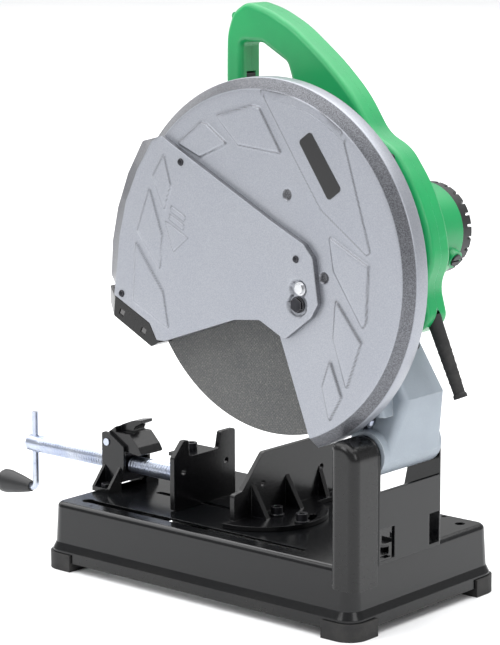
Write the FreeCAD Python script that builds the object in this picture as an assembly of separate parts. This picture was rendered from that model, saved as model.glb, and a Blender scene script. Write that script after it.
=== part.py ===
import FreeCAD, Part
import math
import os

V = FreeCAD.Vector

# Abrasive chop saw, in millimetres. +Z up, z = 0 is the bench, x = y = 0 is the middle of the base.
# -Y is the operator's side with the vise crank, +Y is the hinge side, +X is the side of the wheel.

# ---- driving dimensions -------------------------------------------------------------------
WHEEL_DIAMETER = 355.0
WHEEL_THICKNESS = 3.0
ARBOR_BORE_RADIUS = 12.7
BASE_LENGTH = 439.0
BASE_WIDTH = 252.0
BASE_HEIGHT = 65.0
FOOT_HEIGHT = 10.0
SHEET = 2.5
HINGE_Y = 203.0
HINGE_Z = 187.0
SPINDLE_FORWARD = 113.5
SPINDLE_RISE = 184.6
CUT_X = 93.5
FENCE_WIDTH = 178.0
FENCE_HEIGHT = 73.0
JAW_WIDTH = 102.0
JAW_HEIGHT = 76.0
JAW_OPENING = 83.0
HANDLE_X = 20.0
HANDLE_WIDTH = 34.0
MOTOR_RADIUS = 52.0
MOTOR_TAIL_X = -130.0

# ---- clearances ---------------------------------------------------------------------------
RUNNING = 0.05
PLAY = 0.3
SIDE_PLAY = 2.0

# ---- base ---------------------------------------------------------------------------------
BASE_CORNER = 20.0
LEDGE_BAND = 12.0
LEDGE_RISE = 8.0
LEDGE_STEP = 4.0
WALL_DRAFT = 2.7
TOP_ROUND = 6.0
BASE_TOP = FOOT_HEIGHT + BASE_HEIGHT
CUT_SLOT_WIDTH = 11.0
CUT_SLOT_FRONT = -190.0
CUT_SLOT_BACK = 131.0
CUT_SLOT_EYE = 7.0
GUIDE_SLOT_WIDTH = 9.0
GUIDE_SLOT_FRONT = -150.0
GUIDE_SLOT_BACK = -2.0
TAB_SIZE = 44.0
BENCH_HOLE = (32.0, 13.0, 3.3)
REAR_HOLE = (-95.5, 191.6, 5.5)
SMALL_HOLES = [(-108.6, 160.6, 3.0), (108.0, -165.0, 1.6)]
FOOT_REACH = 42.0
FOOT_LIP = 2.6
FOOT_LIP_HEIGHT = 9.0
FOOT_PAD = 26.0

# ---- hinge bracket and hood ---------------------------------------------------------------
EAR_THICKNESS = 4.0
EAR_RADIUS = 20.5
NEAR_EAR_X = 86.0
FAR_EAR_X = -18.0
WEB_TOP = 151.0
NOTCH_TOP = 112.0
NOTCH_NEAR_X = 62.0
NOTCH_FAR_X = 3.0
FLANGE_THICKNESS = 4.0
FLANGE_FRONT = 165.0
PIN_RADIUS = 6.0
BARREL_RADIUS = 24.0
HOOD_SHEET = 2.0
HOOD_WIDTH = 38.0
HOOD_FRONT = 190.0
HOOD_BOTTOM = 54.0
HOOD_SCREW_HEIGHTS = (100.0, 140.0)
HOOD_ROUND = 9.0
SPRING_WIRE = 2.0
SPRING_COIL = 8.3

# ---- head ---------------------------------------------------------------------------------
SWING_DOWN = 43.0
GUARD_SHEET = 2.0
GUARD_RADIUS = 193.0
GUARD_FACE_RADIUS = 181.0
GUARD_BACK_X = 89.5
GUARD_BEVEL_X = 106.2
GUARD_FACE_X = 115.6
GUARD_START = -69.0
GUARD_END = 182.0
FACE_END = 141.0
BACK_PLATE = 3.5
PLATE_RADIUS = 190.6
HUB_HOLE = 40.0
CASTING_X = 46.0
GEAR_COVER_X = 38.5
MODULE = 1.5
PINION_TEETH = 10
GEAR_TEETH = 52
MESH_ANGLE = 22.7
SPINDLE_BOSS = 52.0
MOTOR_BOSS = 56.0
MOTOR_WALL = 3.5
TAIL_JOINT_X = -105.0
COVER_FACE_X = 122.0
COVER_SHEET = 1.5
COVER_RECESS = 2.5
COVER_PIVOT = (143.5, 339.6)
COVER_SCREW = (146.5, 356.2)

# ---- vise ---------------------------------------------------------------------------------
VISE_X = 16.0
SCREW_Z = 102.0
SCREW_RADIUS = 10.0
JAW_FACE_Y = -77.0
JAW_THICKNESS = 6.0
FENCE_FACE_Y = 6.5
FENCE_THICKNESS = 6.0
FENCE_NEAR_X = 69.5
FENCE_FOOT = 5.0
FENCE_PIVOT = (19.0, 30.0)
CLAMP_RADIUS = 39.0
CRANK_Y = -354.0
CRANK_ROD = 4.0
CHEEK_GAP = 36.0
CHEEK = 4.0
BRACKET_BACK = -186.0
BRACKET_FRONT = -213.0
LEVER_PIN = (-207.0, 129.0)

# ---- places worked out from the driving sizes ----------------------------------------------
WHEEL_RADIUS = WHEEL_DIAMETER / 2
SPINDLE_Y = HINGE_Y - SPINDLE_FORWARD
SPINDLE_Z = HINGE_Z + SPINDLE_RISE
CENTRE_DISTANCE = MODULE * (PINION_TEETH + GEAR_TEETH) / 2
MOTOR_Y = SPINDLE_Y + CENTRE_DISTANCE * math.cos(math.radians(MESH_ANGLE))
MOTOR_Z = SPINDLE_Z + CENTRE_DISTANCE * math.sin(math.radians(MESH_ANGLE))
WHEEL_BACK_X = CUT_X - WHEEL_THICKNESS / 2
WHEEL_FRONT_X = CUT_X + WHEEL_THICKNESS / 2
NEAR_EAR_OUT = NEAR_EAR_X + EAR_THICKNESS
FAR_EAR_IN = FAR_EAR_X + EAR_THICKNESS
BARREL_NEAR = NEAR_EAR_X - SIDE_PLAY
BARREL_FAR = FAR_EAR_IN + SIDE_PLAY
BRACKET_REAR = HINGE_Y + EAR_RADIUS
FLANGE_TOP = BASE_TOP + FLANGE_THICKNESS


# ---- shape helpers ------------------------------------------------------------------------
def spot(axis, u, v, along):
    """Point with plane coordinates (u, v) at a distance along one row axis."""
    if axis == "x":
        return V(along, u, v)
    if axis == "y":
        return V(u, along, v)
    return V(u, v, along)


def direction(axis):
    return spot(axis, 0, 0, 1)


def box(x0, x1, y0, y1, z0, z1):
    return Part.makeBox(x1 - x0, y1 - y0, z1 - z0, V(x0, y0, z0))


def rod(axis, centre, low, high, radius):
    """Cylinder along one row axis between two planes."""
    return Part.makeCylinder(radius, high - low, spot(axis, centre[0], centre[1], low), direction(axis))


def ring(axis, centre, low, high, outer, inner):
    return rod(axis, centre, low, high, outer).cut(rod(axis, centre, low, high, inner))


def cone(axis, centre, low, high, radius_low, radius_high):
    start = spot(axis, centre[0], centre[1], low)
    return Part.makeCone(radius_low, radius_high, high - low, start, direction(axis))


def rounded_wire(axis, corners, along, bow=None):
    """Closed outline through corners (u, v, radius), each rounded; an arc through bow may close it."""
    count = len(corners)
    arcs = []
    for index in range(count):
        before = spot(axis, corners[index - 1][0], corners[index - 1][1], along)
        corner = spot(axis, corners[index][0], corners[index][1], along)
        after = spot(axis, corners[(index + 1) % count][0], corners[(index + 1) % count][1], along)
        radius = corners[index][2]
        back = (before - corner).normalize()
        ahead = (after - corner).normalize()
        half = back.getAngle(ahead) / 2
        reach = radius / math.tan(half)
        middle = corner + (back + ahead).normalize() * (radius / math.sin(half) - radius) if radius else corner
        arcs.append((corner + back * reach, middle, corner + ahead * reach, radius))
    edges = []
    for index in range(count):
        start, middle, end, radius = arcs[index]
        if radius:
            edges.append(Part.Arc(start, middle, end).toShape())
        following = arcs[(index + 1) % count][0]
        if bow and index == count - 1:
            edges.append(Part.Arc(end, spot(axis, bow[0], bow[1], along), following).toShape())
        elif end.distanceToPoint(following) > 1e-6:
            edges.append(Part.makeLine(end, following))
    return Part.Wire(edges)


def prism(axis, corners, low, high):
    """Solid of a rounded outline between two planes across one row axis."""
    face = Part.Face(rounded_wire(axis, corners, low))
    return face.extrude(direction(axis) * (high - low))


def plain(points):
    """Outline corners with no rounding."""
    return [(u, v, 0) for u, v in points]


def turned(axis, centre, profile, start=0.0, sweep=360.0):
    """Solid turned about a line along one row axis from a profile of (radius, distance along)."""
    angle = math.radians(start)
    points = []
    for radius, along in profile:
        u = centre[0] + radius * math.cos(angle)
        v = centre[1] + radius * math.sin(angle)
        points.append(spot(axis, u, v, along))
    face = Part.Face(Part.makePolygon(points + [points[0]]))
    turn = direction(axis) if axis != "y" else V(0, -1, 0)
    return face.revolve(spot(axis, centre[0], centre[1], 0), turn, sweep)


def hexagon(axis, centre, low, high, across):
    """Hexagonal prism measured across its flats."""
    corners = []
    for side in range(6):
        angle = math.radians(60 * side + 30)
        reach = across / math.sqrt(3)
        corners.append((centre[0] + reach * math.cos(angle), centre[1] + reach * math.sin(angle)))
    return prism(axis, plain(corners), low, high)


def socket_screw(axis, centre, seat, side, length, radius):
    """Cap screw: its head stands from seat towards side (+1 or -1), its shank runs the other way."""
    head = rod(axis, centre, min(seat, seat + side * 2 * radius), max(seat, seat + side * 2 * radius), radius * 1.6)
    depth = seat + side * radius
    top = seat + side * 2 * radius
    recess = hexagon(axis, centre, min(depth, top), max(depth, top), radius * 1.6)
    shank = rod(axis, centre, min(seat, seat - side * length), max(seat, seat - side * length), radius)
    return head.cut(recess).fuse(shank)


def hex_bolt(axis, centre, seat, side, length, radius):
    """Hexagon-headed bolt: its head stands from seat towards side, its shank runs the other way."""
    top = seat + side * radius * 1.3
    head = hexagon(axis, centre, min(seat, top), max(seat, top), radius * 3.3)
    shank = rod(axis, centre, min(seat, seat - side * length), max(seat, seat - side * length), radius)
    return head.fuse(shank)


def pan_screw(axis, centre, seat, side, length, radius):
    """Pan-headed screw with a cross recess."""
    top = seat + side * radius * 1.2
    head = rod(axis, centre, min(seat, top), max(seat, top), radius * 2)
    depth = top - side * radius * 0.7
    half = radius * 1.1
    thin = radius * 0.22
    for width, height in ((half, thin), (thin, half)):
        corners = [(centre[0] - width, centre[1] - height), (centre[0] + width, centre[1] - height),
                   (centre[0] + width, centre[1] + height), (centre[0] - width, centre[1] + height)]
        head = head.cut(prism(axis, plain(corners), min(depth, top), max(depth, top)))
    shank = rod(axis, centre, min(seat, seat - side * length), max(seat, seat - side * length), radius)
    return head.fuse(shank)


def on_circle(centre, radius, degrees):
    angle = math.radians(degrees)
    return (centre[0] + radius * math.cos(angle), centre[1] + radius * math.sin(angle))


def eased(points, share):
    """Corners given the arc that uses this share of the shorter side beside each, so the outline flows."""
    corners = []
    for index in range(len(points)):
        corner = V(points[index][0], points[index][1], 0)
        before = V(points[index - 1][0], points[index - 1][1], 0) - corner
        after = V(points[(index + 1) % len(points)][0], points[(index + 1) % len(points)][1], 0) - corner
        reach = min(before.Length, after.Length) * share
        corners.append((corner.x, corner.y, reach * math.tan(before.getAngle(after) / 2)))
    return corners


def together(shapes):
    return Part.makeCompound(shapes)


def joined(shapes):
    """One solid from shapes that overlap or share faces."""
    body = shapes[0].multiFuse(shapes[1:])
    return body.removeSplitter()


def write(name, shape):
    solids = shape.Solids
    result = solids[0] if len(solids) == 1 else Part.makeCompound(solids)
    result.exportStep("parts/" + name + ".step")
    print(name, len(solids), round(sum(solid.Volume for solid in solids) / 1000, 1), result.isValid())


# ---- base ---------------------------------------------------------------------------------
def base_section(inset, height):
    """Rounded rectangle of the base, inset from the foot of its wall, at one height."""
    half_x = BASE_WIDTH / 2 - inset
    half_y = BASE_LENGTH / 2 - inset
    radius = BASE_CORNER - inset
    corners = [(-half_x, -half_y, radius), (half_x, -half_y, radius), (half_x, half_y, radius), (-half_x, half_y, radius)]
    return rounded_wire("z", corners, height)


def base_block(wall, bottom):
    """Pressed shape of the pan, moved inwards by the sheet's thickness."""
    step = FOOT_HEIGHT + LEDGE_BAND
    rise = step + LEDGE_RISE
    sections = [base_section(wall, bottom), base_section(wall, step), base_section(wall + LEDGE_STEP, rise),
                base_section(wall + LEDGE_STEP + WALL_DRAFT, BASE_TOP - wall)]
    block = Part.makeLoft(sections, True, True)
    top = [edge for edge in block.Edges if min(vertex.Z for vertex in edge.Vertexes) > BASE_TOP - wall - 0.01]
    return block.makeFillet(TOP_ROUND - wall, top)


def slot(axis_x, front, back, width, low, high):
    """Straight slot along Y with round ends."""
    half = width / 2
    cut = box(axis_x - half, axis_x + half, front + half, back - half, low, high)
    cut = cut.fuse(rod("z", (axis_x, front + half), low, high, half))
    return cut.fuse(rod("z", (axis_x, back - half), low, high, half))


def corner_signs():
    return [(-1, -1), (1, -1), (1, 1), (-1, 1)]


def foot_screw_place(side_x, side_y):
    return (side_x * (BASE_WIDTH / 2 - FOOT_PAD / 2 - SHEET), side_y * (BASE_LENGTH / 2 - FOOT_PAD / 2 - SHEET))


def bench_hole_places():
    """Holes through the feet and the pan's corner tabs for bolting the saw to a bench."""
    x = BASE_WIDTH / 2 - BENCH_HOLE[0]
    y = BASE_LENGTH / 2 - BENCH_HOLE[1]
    return [(side_x * x, side_y * y) for side_x, side_y in corner_signs()]


def base_pan():
    pan = base_block(0, FOOT_HEIGHT).cut(base_block(SHEET, FOOT_HEIGHT - 1))
    inside = base_block(SHEET / 2, FOOT_HEIGHT)
    for side_x, side_y in corner_signs():
        tip_x = side_x * BASE_WIDTH / 2
        tip_y = side_y * BASE_LENGTH / 2
        back_x = tip_x - side_x * TAB_SIZE
        back_y = tip_y - side_y * TAB_SIZE
        tab = box(min(tip_x, back_x), max(tip_x, back_x), min(tip_y, back_y), max(tip_y, back_y),
                  FOOT_HEIGHT, FOOT_HEIGHT + SHEET).common(inside)
        pan = pan.fuse(tab)
    low = FOOT_HEIGHT - 1
    high = BASE_TOP + 1
    for side_x, side_y in corner_signs():
        pan = pan.cut(rod("z", foot_screw_place(side_x, side_y), low, FOOT_HEIGHT + SHEET + 1, 2 + PLAY))
    for place in bench_hole_places():
        pan = pan.cut(rod("z", place, low, FOOT_HEIGHT + SHEET + 1, BENCH_HOLE[2]))
    under_top = BASE_TOP - SHEET - 1
    pan = pan.cut(slot(CUT_X, CUT_SLOT_FRONT, CUT_SLOT_BACK, CUT_SLOT_WIDTH, under_top, high))
    pan = pan.cut(rod("z", (CUT_X, CUT_SLOT_FRONT + CUT_SLOT_EYE), under_top, high, CUT_SLOT_EYE))
    pan = pan.cut(slot(VISE_X, GUIDE_SLOT_FRONT, GUIDE_SLOT_BACK, GUIDE_SLOT_WIDTH, under_top, high))
    for x, y, radius in [REAR_HOLE] + SMALL_HOLES:
        pan = pan.cut(rod("z", (x, y), under_top, high, radius))
    for x, y in flange_bolt_places() + bracket_bolt_places():
        pan = pan.cut(rod("z", (x, y), under_top, high, 3 + PLAY))
    for x, y in fence_bolt_places():
        pan = pan.cut(rod("z", (x, y), under_top, high, 4 + PLAY))
    return pan.removeSplitter()


def rubber_feet():
    """Corner feet: a pad under the rim with a lip that wraps up outside it."""
    wrap = Part.makeLoft([base_section(-FOOT_LIP, 0), base_section(-FOOT_LIP, FOOT_HEIGHT + FOOT_LIP_HEIGHT)], True, True)
    hollow = Part.makeLoft([base_section(0, FOOT_HEIGHT), base_section(0, BASE_TOP)], True, True)
    core_x = BASE_WIDTH / 2 - FOOT_PAD
    core_y = BASE_LENGTH / 2 - FOOT_PAD
    core = box(-core_x, core_x, -core_y, core_y, -1, FOOT_HEIGHT + 1)
    feet = []
    for side_x, side_y in corner_signs():
        tip_x = side_x * (BASE_WIDTH / 2 + FOOT_LIP)
        tip_y = side_y * (BASE_LENGTH / 2 + FOOT_LIP)
        back_x = tip_x - side_x * FOOT_REACH
        back_y = tip_y - side_y * FOOT_REACH
        zone = box(min(tip_x, back_x), max(tip_x, back_x), min(tip_y, back_y), max(tip_y, back_y), 0, 40)
        foot = wrap.common(zone).cut(hollow).cut(core)
        place = foot_screw_place(side_x, side_y)
        foot = foot.cut(rod("z", place, -1, 4, 4 + PLAY)).cut(rod("z", place, -1, 20, 2 + PLAY))
        for bench in bench_hole_places():
            foot = foot.cut(rod("z", bench, -1, 20, BENCH_HOLE[2]))
        feet.append(foot)
    return together(feet)


def base_screws():
    """Pan-headed screws that hold the feet and the hood."""
    screws = []
    for side_x, side_y in corner_signs():
        screws.append(pan_screw("z", foot_screw_place(side_x, side_y), 4, -1, FOOT_HEIGHT + SHEET, 2))
    seat = NEAR_EAR_OUT + PLAY + HOOD_SHEET
    for z in HOOD_SCREW_HEIGHTS:
        screws.append(pan_screw("x", (FLANGE_FRONT + 43, z), seat, 1, 12, 2))
    return together(screws)


# ---- hinge bracket ------------------------------------------------------------------------
def flange_bolt_places():
    """Bolts of the three flanges of the hinge bracket."""
    places = [(x, y) for x in (NEAR_EAR_X - 11, FAR_EAR_IN + 11) for y in (FLANGE_FRONT + 9, HINGE_Y - 4)]
    middle = (NOTCH_NEAR_X + NOTCH_FAR_X) / 2
    return places + [(middle - 16, HINGE_Y - 4), (middle + 16, HINGE_Y - 4)]


def ear(x):
    """One ear: straight back edge, round top about the hinge pin, sloped front edge."""
    top = HINGE_Z + EAR_RADIUS
    corners = [(FLANGE_FRONT, BASE_TOP, 0), (BRACKET_REAR, BASE_TOP, 0), (BRACKET_REAR, top, EAR_RADIUS - 0.01),
               (HINGE_Y - EAR_RADIUS, top, EAR_RADIUS - 0.01), (HINGE_Y - EAR_RADIUS, HINGE_Z - 30, 20)]
    return prism("x", corners, x, x + EAR_THICKNESS)


def hinge_bracket():
    web_front = BRACKET_REAR - EAR_THICKNESS
    web = box(FAR_EAR_X, NEAR_EAR_OUT, web_front, BRACKET_REAR, BASE_TOP, WEB_TOP)
    for x0, x1 in ((FAR_EAR_IN, NOTCH_FAR_X), (NOTCH_NEAR_X, NEAR_EAR_X)):
        web = web.cut(box(x0, x1, web_front - 1, BRACKET_REAR + 1, FLANGE_TOP, NOTCH_TOP))
    sides = [ear(NEAR_EAR_X), ear(FAR_EAR_X)]
    floor = [box(FAR_EAR_IN, FAR_EAR_IN + 22, FLANGE_FRONT, HINGE_Y + 10, BASE_TOP, FLANGE_TOP),
             box(NEAR_EAR_X - 22, NEAR_EAR_X, FLANGE_FRONT, HINGE_Y + 10, BASE_TOP, FLANGE_TOP),
             box(NOTCH_FAR_X, NOTCH_NEAR_X, HINGE_Y - 16, web_front, BASE_TOP, FLANGE_TOP)]
    bracket = joined([web] + sides + floor)
    upright = [edge for edge in bracket.Edges
               if len(edge.Vertexes) == 2 and abs(edge.Vertexes[0].Y - BRACKET_REAR) < 0.01
               and abs(edge.Vertexes[1].Y - BRACKET_REAR) < 0.01 and edge.BoundBox.ZLength > 60
               and (abs(edge.BoundBox.XMin - FAR_EAR_X) < 0.01 or abs(edge.BoundBox.XMax - NEAR_EAR_OUT) < 0.01)]
    if upright:
        bracket = bracket.makeFillet(EAR_THICKNESS * 0.7, upright)
    bracket = bracket.cut(rod("x", (HINGE_Y, HINGE_Z), FAR_EAR_X - 1, NEAR_EAR_OUT + 1, PIN_RADIUS + RUNNING))
    for place in flange_bolt_places():
        bracket = bracket.cut(rod("z", place, BASE_TOP - 1, FLANGE_TOP + 1, 3 + PLAY))
    for z in HOOD_SCREW_HEIGHTS:
        bracket = bracket.cut(rod("x", (FLANGE_FRONT + 43, z), NEAR_EAR_X - 1, NEAR_EAR_OUT + 1, 2 + PLAY))
    return bracket


def bolts_with_nuts(places, seat):
    """Hexagon bolts down through the base sheet, each with its nut under the sheet."""
    parts = []
    for place in places:
        parts.append(hex_bolt("z", place, seat, 1, seat - BASE_TOP + SHEET + 7, 3))
        nut = hexagon("z", place, BASE_TOP - SHEET - 5, BASE_TOP - SHEET, 10)
        parts.append(nut.cut(rod("z", place, BASE_TOP - SHEET - 6, BASE_TOP, 3)))
    return together(parts)


def base_bolts():
    """Bolts of the hinge bracket's flanges and of the nut bracket's feet."""
    flanges = bolts_with_nuts(flange_bolt_places(), FLANGE_TOP)
    return together([flanges, bolts_with_nuts(bracket_bolt_places(), BASE_TOP + 5)])


def hinge_pin():
    low = FAR_EAR_X
    pin = rod("x", (HINGE_Y, HINGE_Z), low, NEAR_EAR_OUT + 8, PIN_RADIUS)
    head = cone("x", (HINGE_Y, HINGE_Z), low - 5, low, PIN_RADIUS + 2.5, PIN_RADIUS + 4)
    groove = ring("x", (HINGE_Y, HINGE_Z), NEAR_EAR_OUT + 3, NEAR_EAR_OUT + 4.5, PIN_RADIUS + 1, PIN_RADIUS - 1)
    return joined([pin, head]).cut(groove)


def pin_retainers():
    """Washer and snap ring on the pin's end, and the two side washers of the barrel."""
    centre = (HINGE_Y, HINGE_Z)
    washer = ring("x", centre, NEAR_EAR_OUT, NEAR_EAR_OUT + 2.8, PIN_RADIUS + 6, PIN_RADIUS + RUNNING)
    clip = ring("x", centre, NEAR_EAR_OUT + 3.1, NEAR_EAR_OUT + 4.4, PIN_RADIUS + 3, PIN_RADIUS - 0.9)
    clip = clip.cut(box(NEAR_EAR_OUT + 3, NEAR_EAR_OUT + 5, HINGE_Y - 4.5, HINGE_Y + 4.5, HINGE_Z - 12, HINGE_Z))
    thin = SIDE_PLAY - PLAY / 3
    near = ring("x", centre, NEAR_EAR_X - thin, NEAR_EAR_X, PIN_RADIUS + 7, PIN_RADIUS + RUNNING)
    far = ring("x", centre, FAR_EAR_IN, FAR_EAR_IN + thin, PIN_RADIUS + 7, PIN_RADIUS + RUNNING)
    return together([washer, clip, near, far])


SPRING_X = 22.0
SPRING_LENGTH = 26.0


def return_spring():
    """Torsion spring round the pin inside the barrel: one leg down to the bracket, one in the arm."""
    turns = 4
    pitch = SPRING_LENGTH / turns
    helix = Part.makeHelix(pitch, pitch * turns, SPRING_COIL)
    start = V(SPRING_COIL, 0, 0)
    profile = Part.Wire(Part.makeCircle(SPRING_WIRE, start, V(0, 1, 0)))
    coil = Part.Wire(helix.Edges).makePipeShell([profile], True, True)
    coil.rotate(V(0, 0, 0), V(0, 1, 0), 90)
    coil.rotate(V(0, 0, 0), V(1, 0, 0), 180)
    coil.translate(V(SPRING_X, HINGE_Y, HINGE_Z))
    return coil


def spark_hood():
    """Spark hood: bent sheet box beside the near ear, open to the wheel in front, rounded over the hinge."""
    x0 = NEAR_EAR_OUT + PLAY
    x1 = NEAR_EAR_OUT + HOOD_WIDTH
    top = HINGE_Z + EAR_RADIUS

    def hood_block(inset, x_low, x_high, bottom):
        radius = EAR_RADIUS - inset
        corners = [(HOOD_FRONT, bottom, 0), (BRACKET_REAR - inset, bottom, 0), (BRACKET_REAR - inset, top - inset, radius - 0.01),
                   (HOOD_FRONT, top - inset, EAR_RADIUS * 0.45)]
        return prism("x", corners, x_low, x_high)

    shell = hood_block(0, x0, x1, HOOD_BOTTOM)
    edges = [edge for edge in shell.Edges if edge.BoundBox.XMin > x1 - 0.01 and edge.BoundBox.YMax > HOOD_FRONT + 0.01
             and edge.BoundBox.ZMax > HOOD_BOTTOM + 0.01]
    shell = shell.makeFillet(HOOD_ROUND, edges)
    core = hood_block(HOOD_SHEET, x0 + HOOD_SHEET, x1 - HOOD_SHEET, HOOD_BOTTOM - 1)
    edges = [edge for edge in core.Edges if edge.BoundBox.XMin > x1 - HOOD_SHEET - 0.01 and edge.BoundBox.YMax > HOOD_FRONT + 0.01
             and edge.BoundBox.ZMax > HOOD_BOTTOM - 0.99]
    core = core.makeFillet(HOOD_ROUND - HOOD_SHEET, edges)
    shell = shell.cut(core)
    window = box(x0 + HOOD_SHEET, x1 - HOOD_SHEET, HOOD_FRONT - 1, HOOD_FRONT + 3, HOOD_BOTTOM - 1, HINGE_Z + 6)
    shell = shell.cut(window)
    pin_room = rod("x", (HINGE_Y, HINGE_Z), x0 - 1, x0 + HOOD_SHEET + 1, PIN_RADIUS + 6 + PLAY)
    below = box(x0 - 1, x0 + HOOD_SHEET + 0.01, HOOD_FRONT - 1, BRACKET_REAR - HOOD_SHEET, HOOD_BOTTOM - 1, BASE_TOP + PLAY)
    shell = shell.cut(pin_room).cut(below)
    for z in HOOD_SCREW_HEIGHTS:
        shell = shell.cut(rod("x", (FLANGE_FRONT + 43, z), x0 - 1, x0 + HOOD_SHEET + 1, 2 + PLAY))
    return shell


# ---- abrasive wheel and its drive ---------------------------------------------------------
SPINDLE = (SPINDLE_Y, SPINDLE_Z)
MOTOR = (MOTOR_Y, MOTOR_Z)
SPINDLE_RADIUS = 8.5
FLANGE_RADIUS = 35.0
FLANGE_WIDTH = 5.5
BEARING_RADIUS = 20.0
GEAR_X = 50.0
GEAR_WIDTH = 10.0
PINION_LENGTH = 12.0
SHAFT_RADIUS = 5.0


def gear_outline(teeth, turn):
    """Tooth outline of a spur gear: involute-like flanks through root, pitch and tip."""
    pitch_radius = MODULE * teeth / 2
    levels = [(pitch_radius - 1.25 * MODULE, 0.62), (pitch_radius, 0.43), (pitch_radius + 0.85 * MODULE, 0.2)]
    step = 360.0 / teeth
    points = []
    for tooth in range(teeth):
        middle = turn + tooth * step
        for radius, share in levels:
            points.append(on_circle((0, 0), radius, middle - step * share / 2))
        for radius, share in reversed(levels):
            points.append(on_circle((0, 0), radius, middle + step * share / 2))
    return points


def gear(centre, teeth, turn, low, high, bore):
    points = [(centre[0] + u, centre[1] + v) for u, v in gear_outline(teeth, turn)]
    return prism("x", plain(points), low, high).cut(rod("x", centre, low - 1, high + 1, bore))


def gear_wheel():
    return gear(SPINDLE, GEAR_TEETH, MESH_ANGLE, GEAR_X, GEAR_X + GEAR_WIDTH, SPINDLE_RADIUS)


def spindle():
    back = GEAR_COVER_X + 2
    shaft = rod("x", SPINDLE, back, WHEEL_BACK_X - FLANGE_WIDTH, SPINDLE_RADIUS)
    nose = rod("x", SPINDLE, WHEEL_BACK_X - FLANGE_WIDTH, WHEEL_FRONT_X - 0.5, SPINDLE_RADIUS - 1)
    thread = rod("x", SPINDLE, WHEEL_FRONT_X - 16, WHEEL_FRONT_X + 1, 4)
    return joined([shaft, nose]).cut(thread)


def inner_flange():
    back = WHEEL_BACK_X - FLANGE_WIDTH
    disc = ring("x", SPINDLE, back, WHEEL_BACK_X - 1, FLANGE_RADIUS, SPINDLE_RADIUS - 1)
    rim = ring("x", SPINDLE, WHEEL_BACK_X - 1, WHEEL_BACK_X, FLANGE_RADIUS, FLANGE_RADIUS - 9)
    spigot = ring("x", SPINDLE, WHEEL_BACK_X - 1, WHEEL_FRONT_X - 0.5, ARBOR_BORE_RADIUS - RUNNING, SPINDLE_RADIUS - 1)
    return joined([disc, rim, spigot])


def outer_flange():
    disc = ring("x", SPINDLE, WHEEL_FRONT_X + 1, WHEEL_FRONT_X + FLANGE_WIDTH, FLANGE_RADIUS, 4 + RUNNING)
    rim = ring("x", SPINDLE, WHEEL_FRONT_X, WHEEL_FRONT_X + 1, FLANGE_RADIUS, FLANGE_RADIUS - 9)
    return joined([disc, rim])


def abrasive_wheel():
    return ring("x", SPINDLE, WHEEL_BACK_X, WHEEL_FRONT_X, WHEEL_RADIUS, ARBOR_BORE_RADIUS)


def arbor_bolt():
    seat = WHEEL_FRONT_X + FLANGE_WIDTH
    washer = rod("x", SPINDLE, seat, seat + 2, 10)
    head = hexagon("x", SPINDLE, seat + 2, seat + 9, 14)
    shank = rod("x", SPINDLE, WHEEL_FRONT_X - 14, seat + 2, 4)
    return joined([washer, head, shank])


def armature_shaft():
    low = MOTOR_TAIL_X + 6
    shaft = rod("x", MOTOR, low, GEAR_X, SHAFT_RADIUS)
    teeth = gear(MOTOR, PINION_TEETH, MESH_ANGLE + 180 + 180.0 / PINION_TEETH, GEAR_X - 1, GEAR_X - 1 + PINION_LENGTH, 0.5)
    core = rod("x", MOTOR, GEAR_X - 1, GEAR_X - 1 + PINION_LENGTH, 1)
    stub = rod("x", MOTOR, GEAR_X - 1 + PINION_LENGTH, GEAR_X + 3 + PINION_LENGTH, 4)
    return joined([shaft, teeth, core, stub])


CORE_LOW = -68.0
CORE_HIGH = -12.0
CORE_RADIUS = 24.5


def armature_core():
    """Laminated rotor with its winding slots."""
    core = ring("x", MOTOR, CORE_LOW, CORE_HIGH, CORE_RADIUS, SHAFT_RADIUS)
    for slot_index in range(12):
        y, z = on_circle(MOTOR, CORE_RADIUS, slot_index * 30)
        core = core.cut(rod("x", (y, z), CORE_LOW - 1, CORE_HIGH + 1, 2.2))
    return core


def armature_windings():
    ends = []
    for low, high in ((CORE_LOW - 9, CORE_LOW), (CORE_HIGH, CORE_HIGH + 9)):
        ends.append(turned("x", MOTOR, [(SHAFT_RADIUS, low), (18, low), (21, (low + high) / 2), (18, high), (SHAFT_RADIUS, high)]))
    return together(ends)


def commutator():
    low = CORE_LOW - 30
    drum = ring("x", MOTOR, low, low + 16, 13, SHAFT_RADIUS)
    for bar in range(16):
        angle = bar * 22.5
        groove = box(low - 1, low + 17, MOTOR_Y - 0.4, MOTOR_Y + 0.4, MOTOR_Z + 12, MOTOR_Z + 14)
        groove.rotate(V(0, MOTOR_Y, MOTOR_Z), V(1, 0, 0), angle)
        drum = drum.cut(groove)
    return drum


def cooling_fan():
    """Radial fan: back disc, hub and blades."""
    low = CORE_HIGH + 18
    disc = ring("x", MOTOR, low, low + 2, 43, SHAFT_RADIUS)
    hub = ring("x", MOTOR, low, low + 12, 11, SHAFT_RADIUS)
    blades = []
    for index in range(11):
        blade = box(low, low + 12, MOTOR_Y - 1, MOTOR_Y + 1, MOTOR_Z + 18, MOTOR_Z + 42)
        blade.rotate(V(0, MOTOR_Y, MOTOR_Z), V(1, 0, 0), index * 360.0 / 11)
        blades.append(blade)
    return joined([disc, hub] + blades)


def bearing(centre, low, high, outer, inner):
    """Ball bearing drawn as its two rings with the shield between them."""
    profile = [(inner, low), (outer, low), (outer, high), (inner, high)]
    body = turned("x", centre, profile)
    middle = (outer + inner) / 2
    for face_low, face_high in ((low - 1, low + 0.6), (high - 0.6, high + 1)):
        body = body.cut(ring("x", centre, face_low, face_high, middle + (outer - inner) * 0.2, middle - (outer - inner) * 0.2))
    return body


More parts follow.
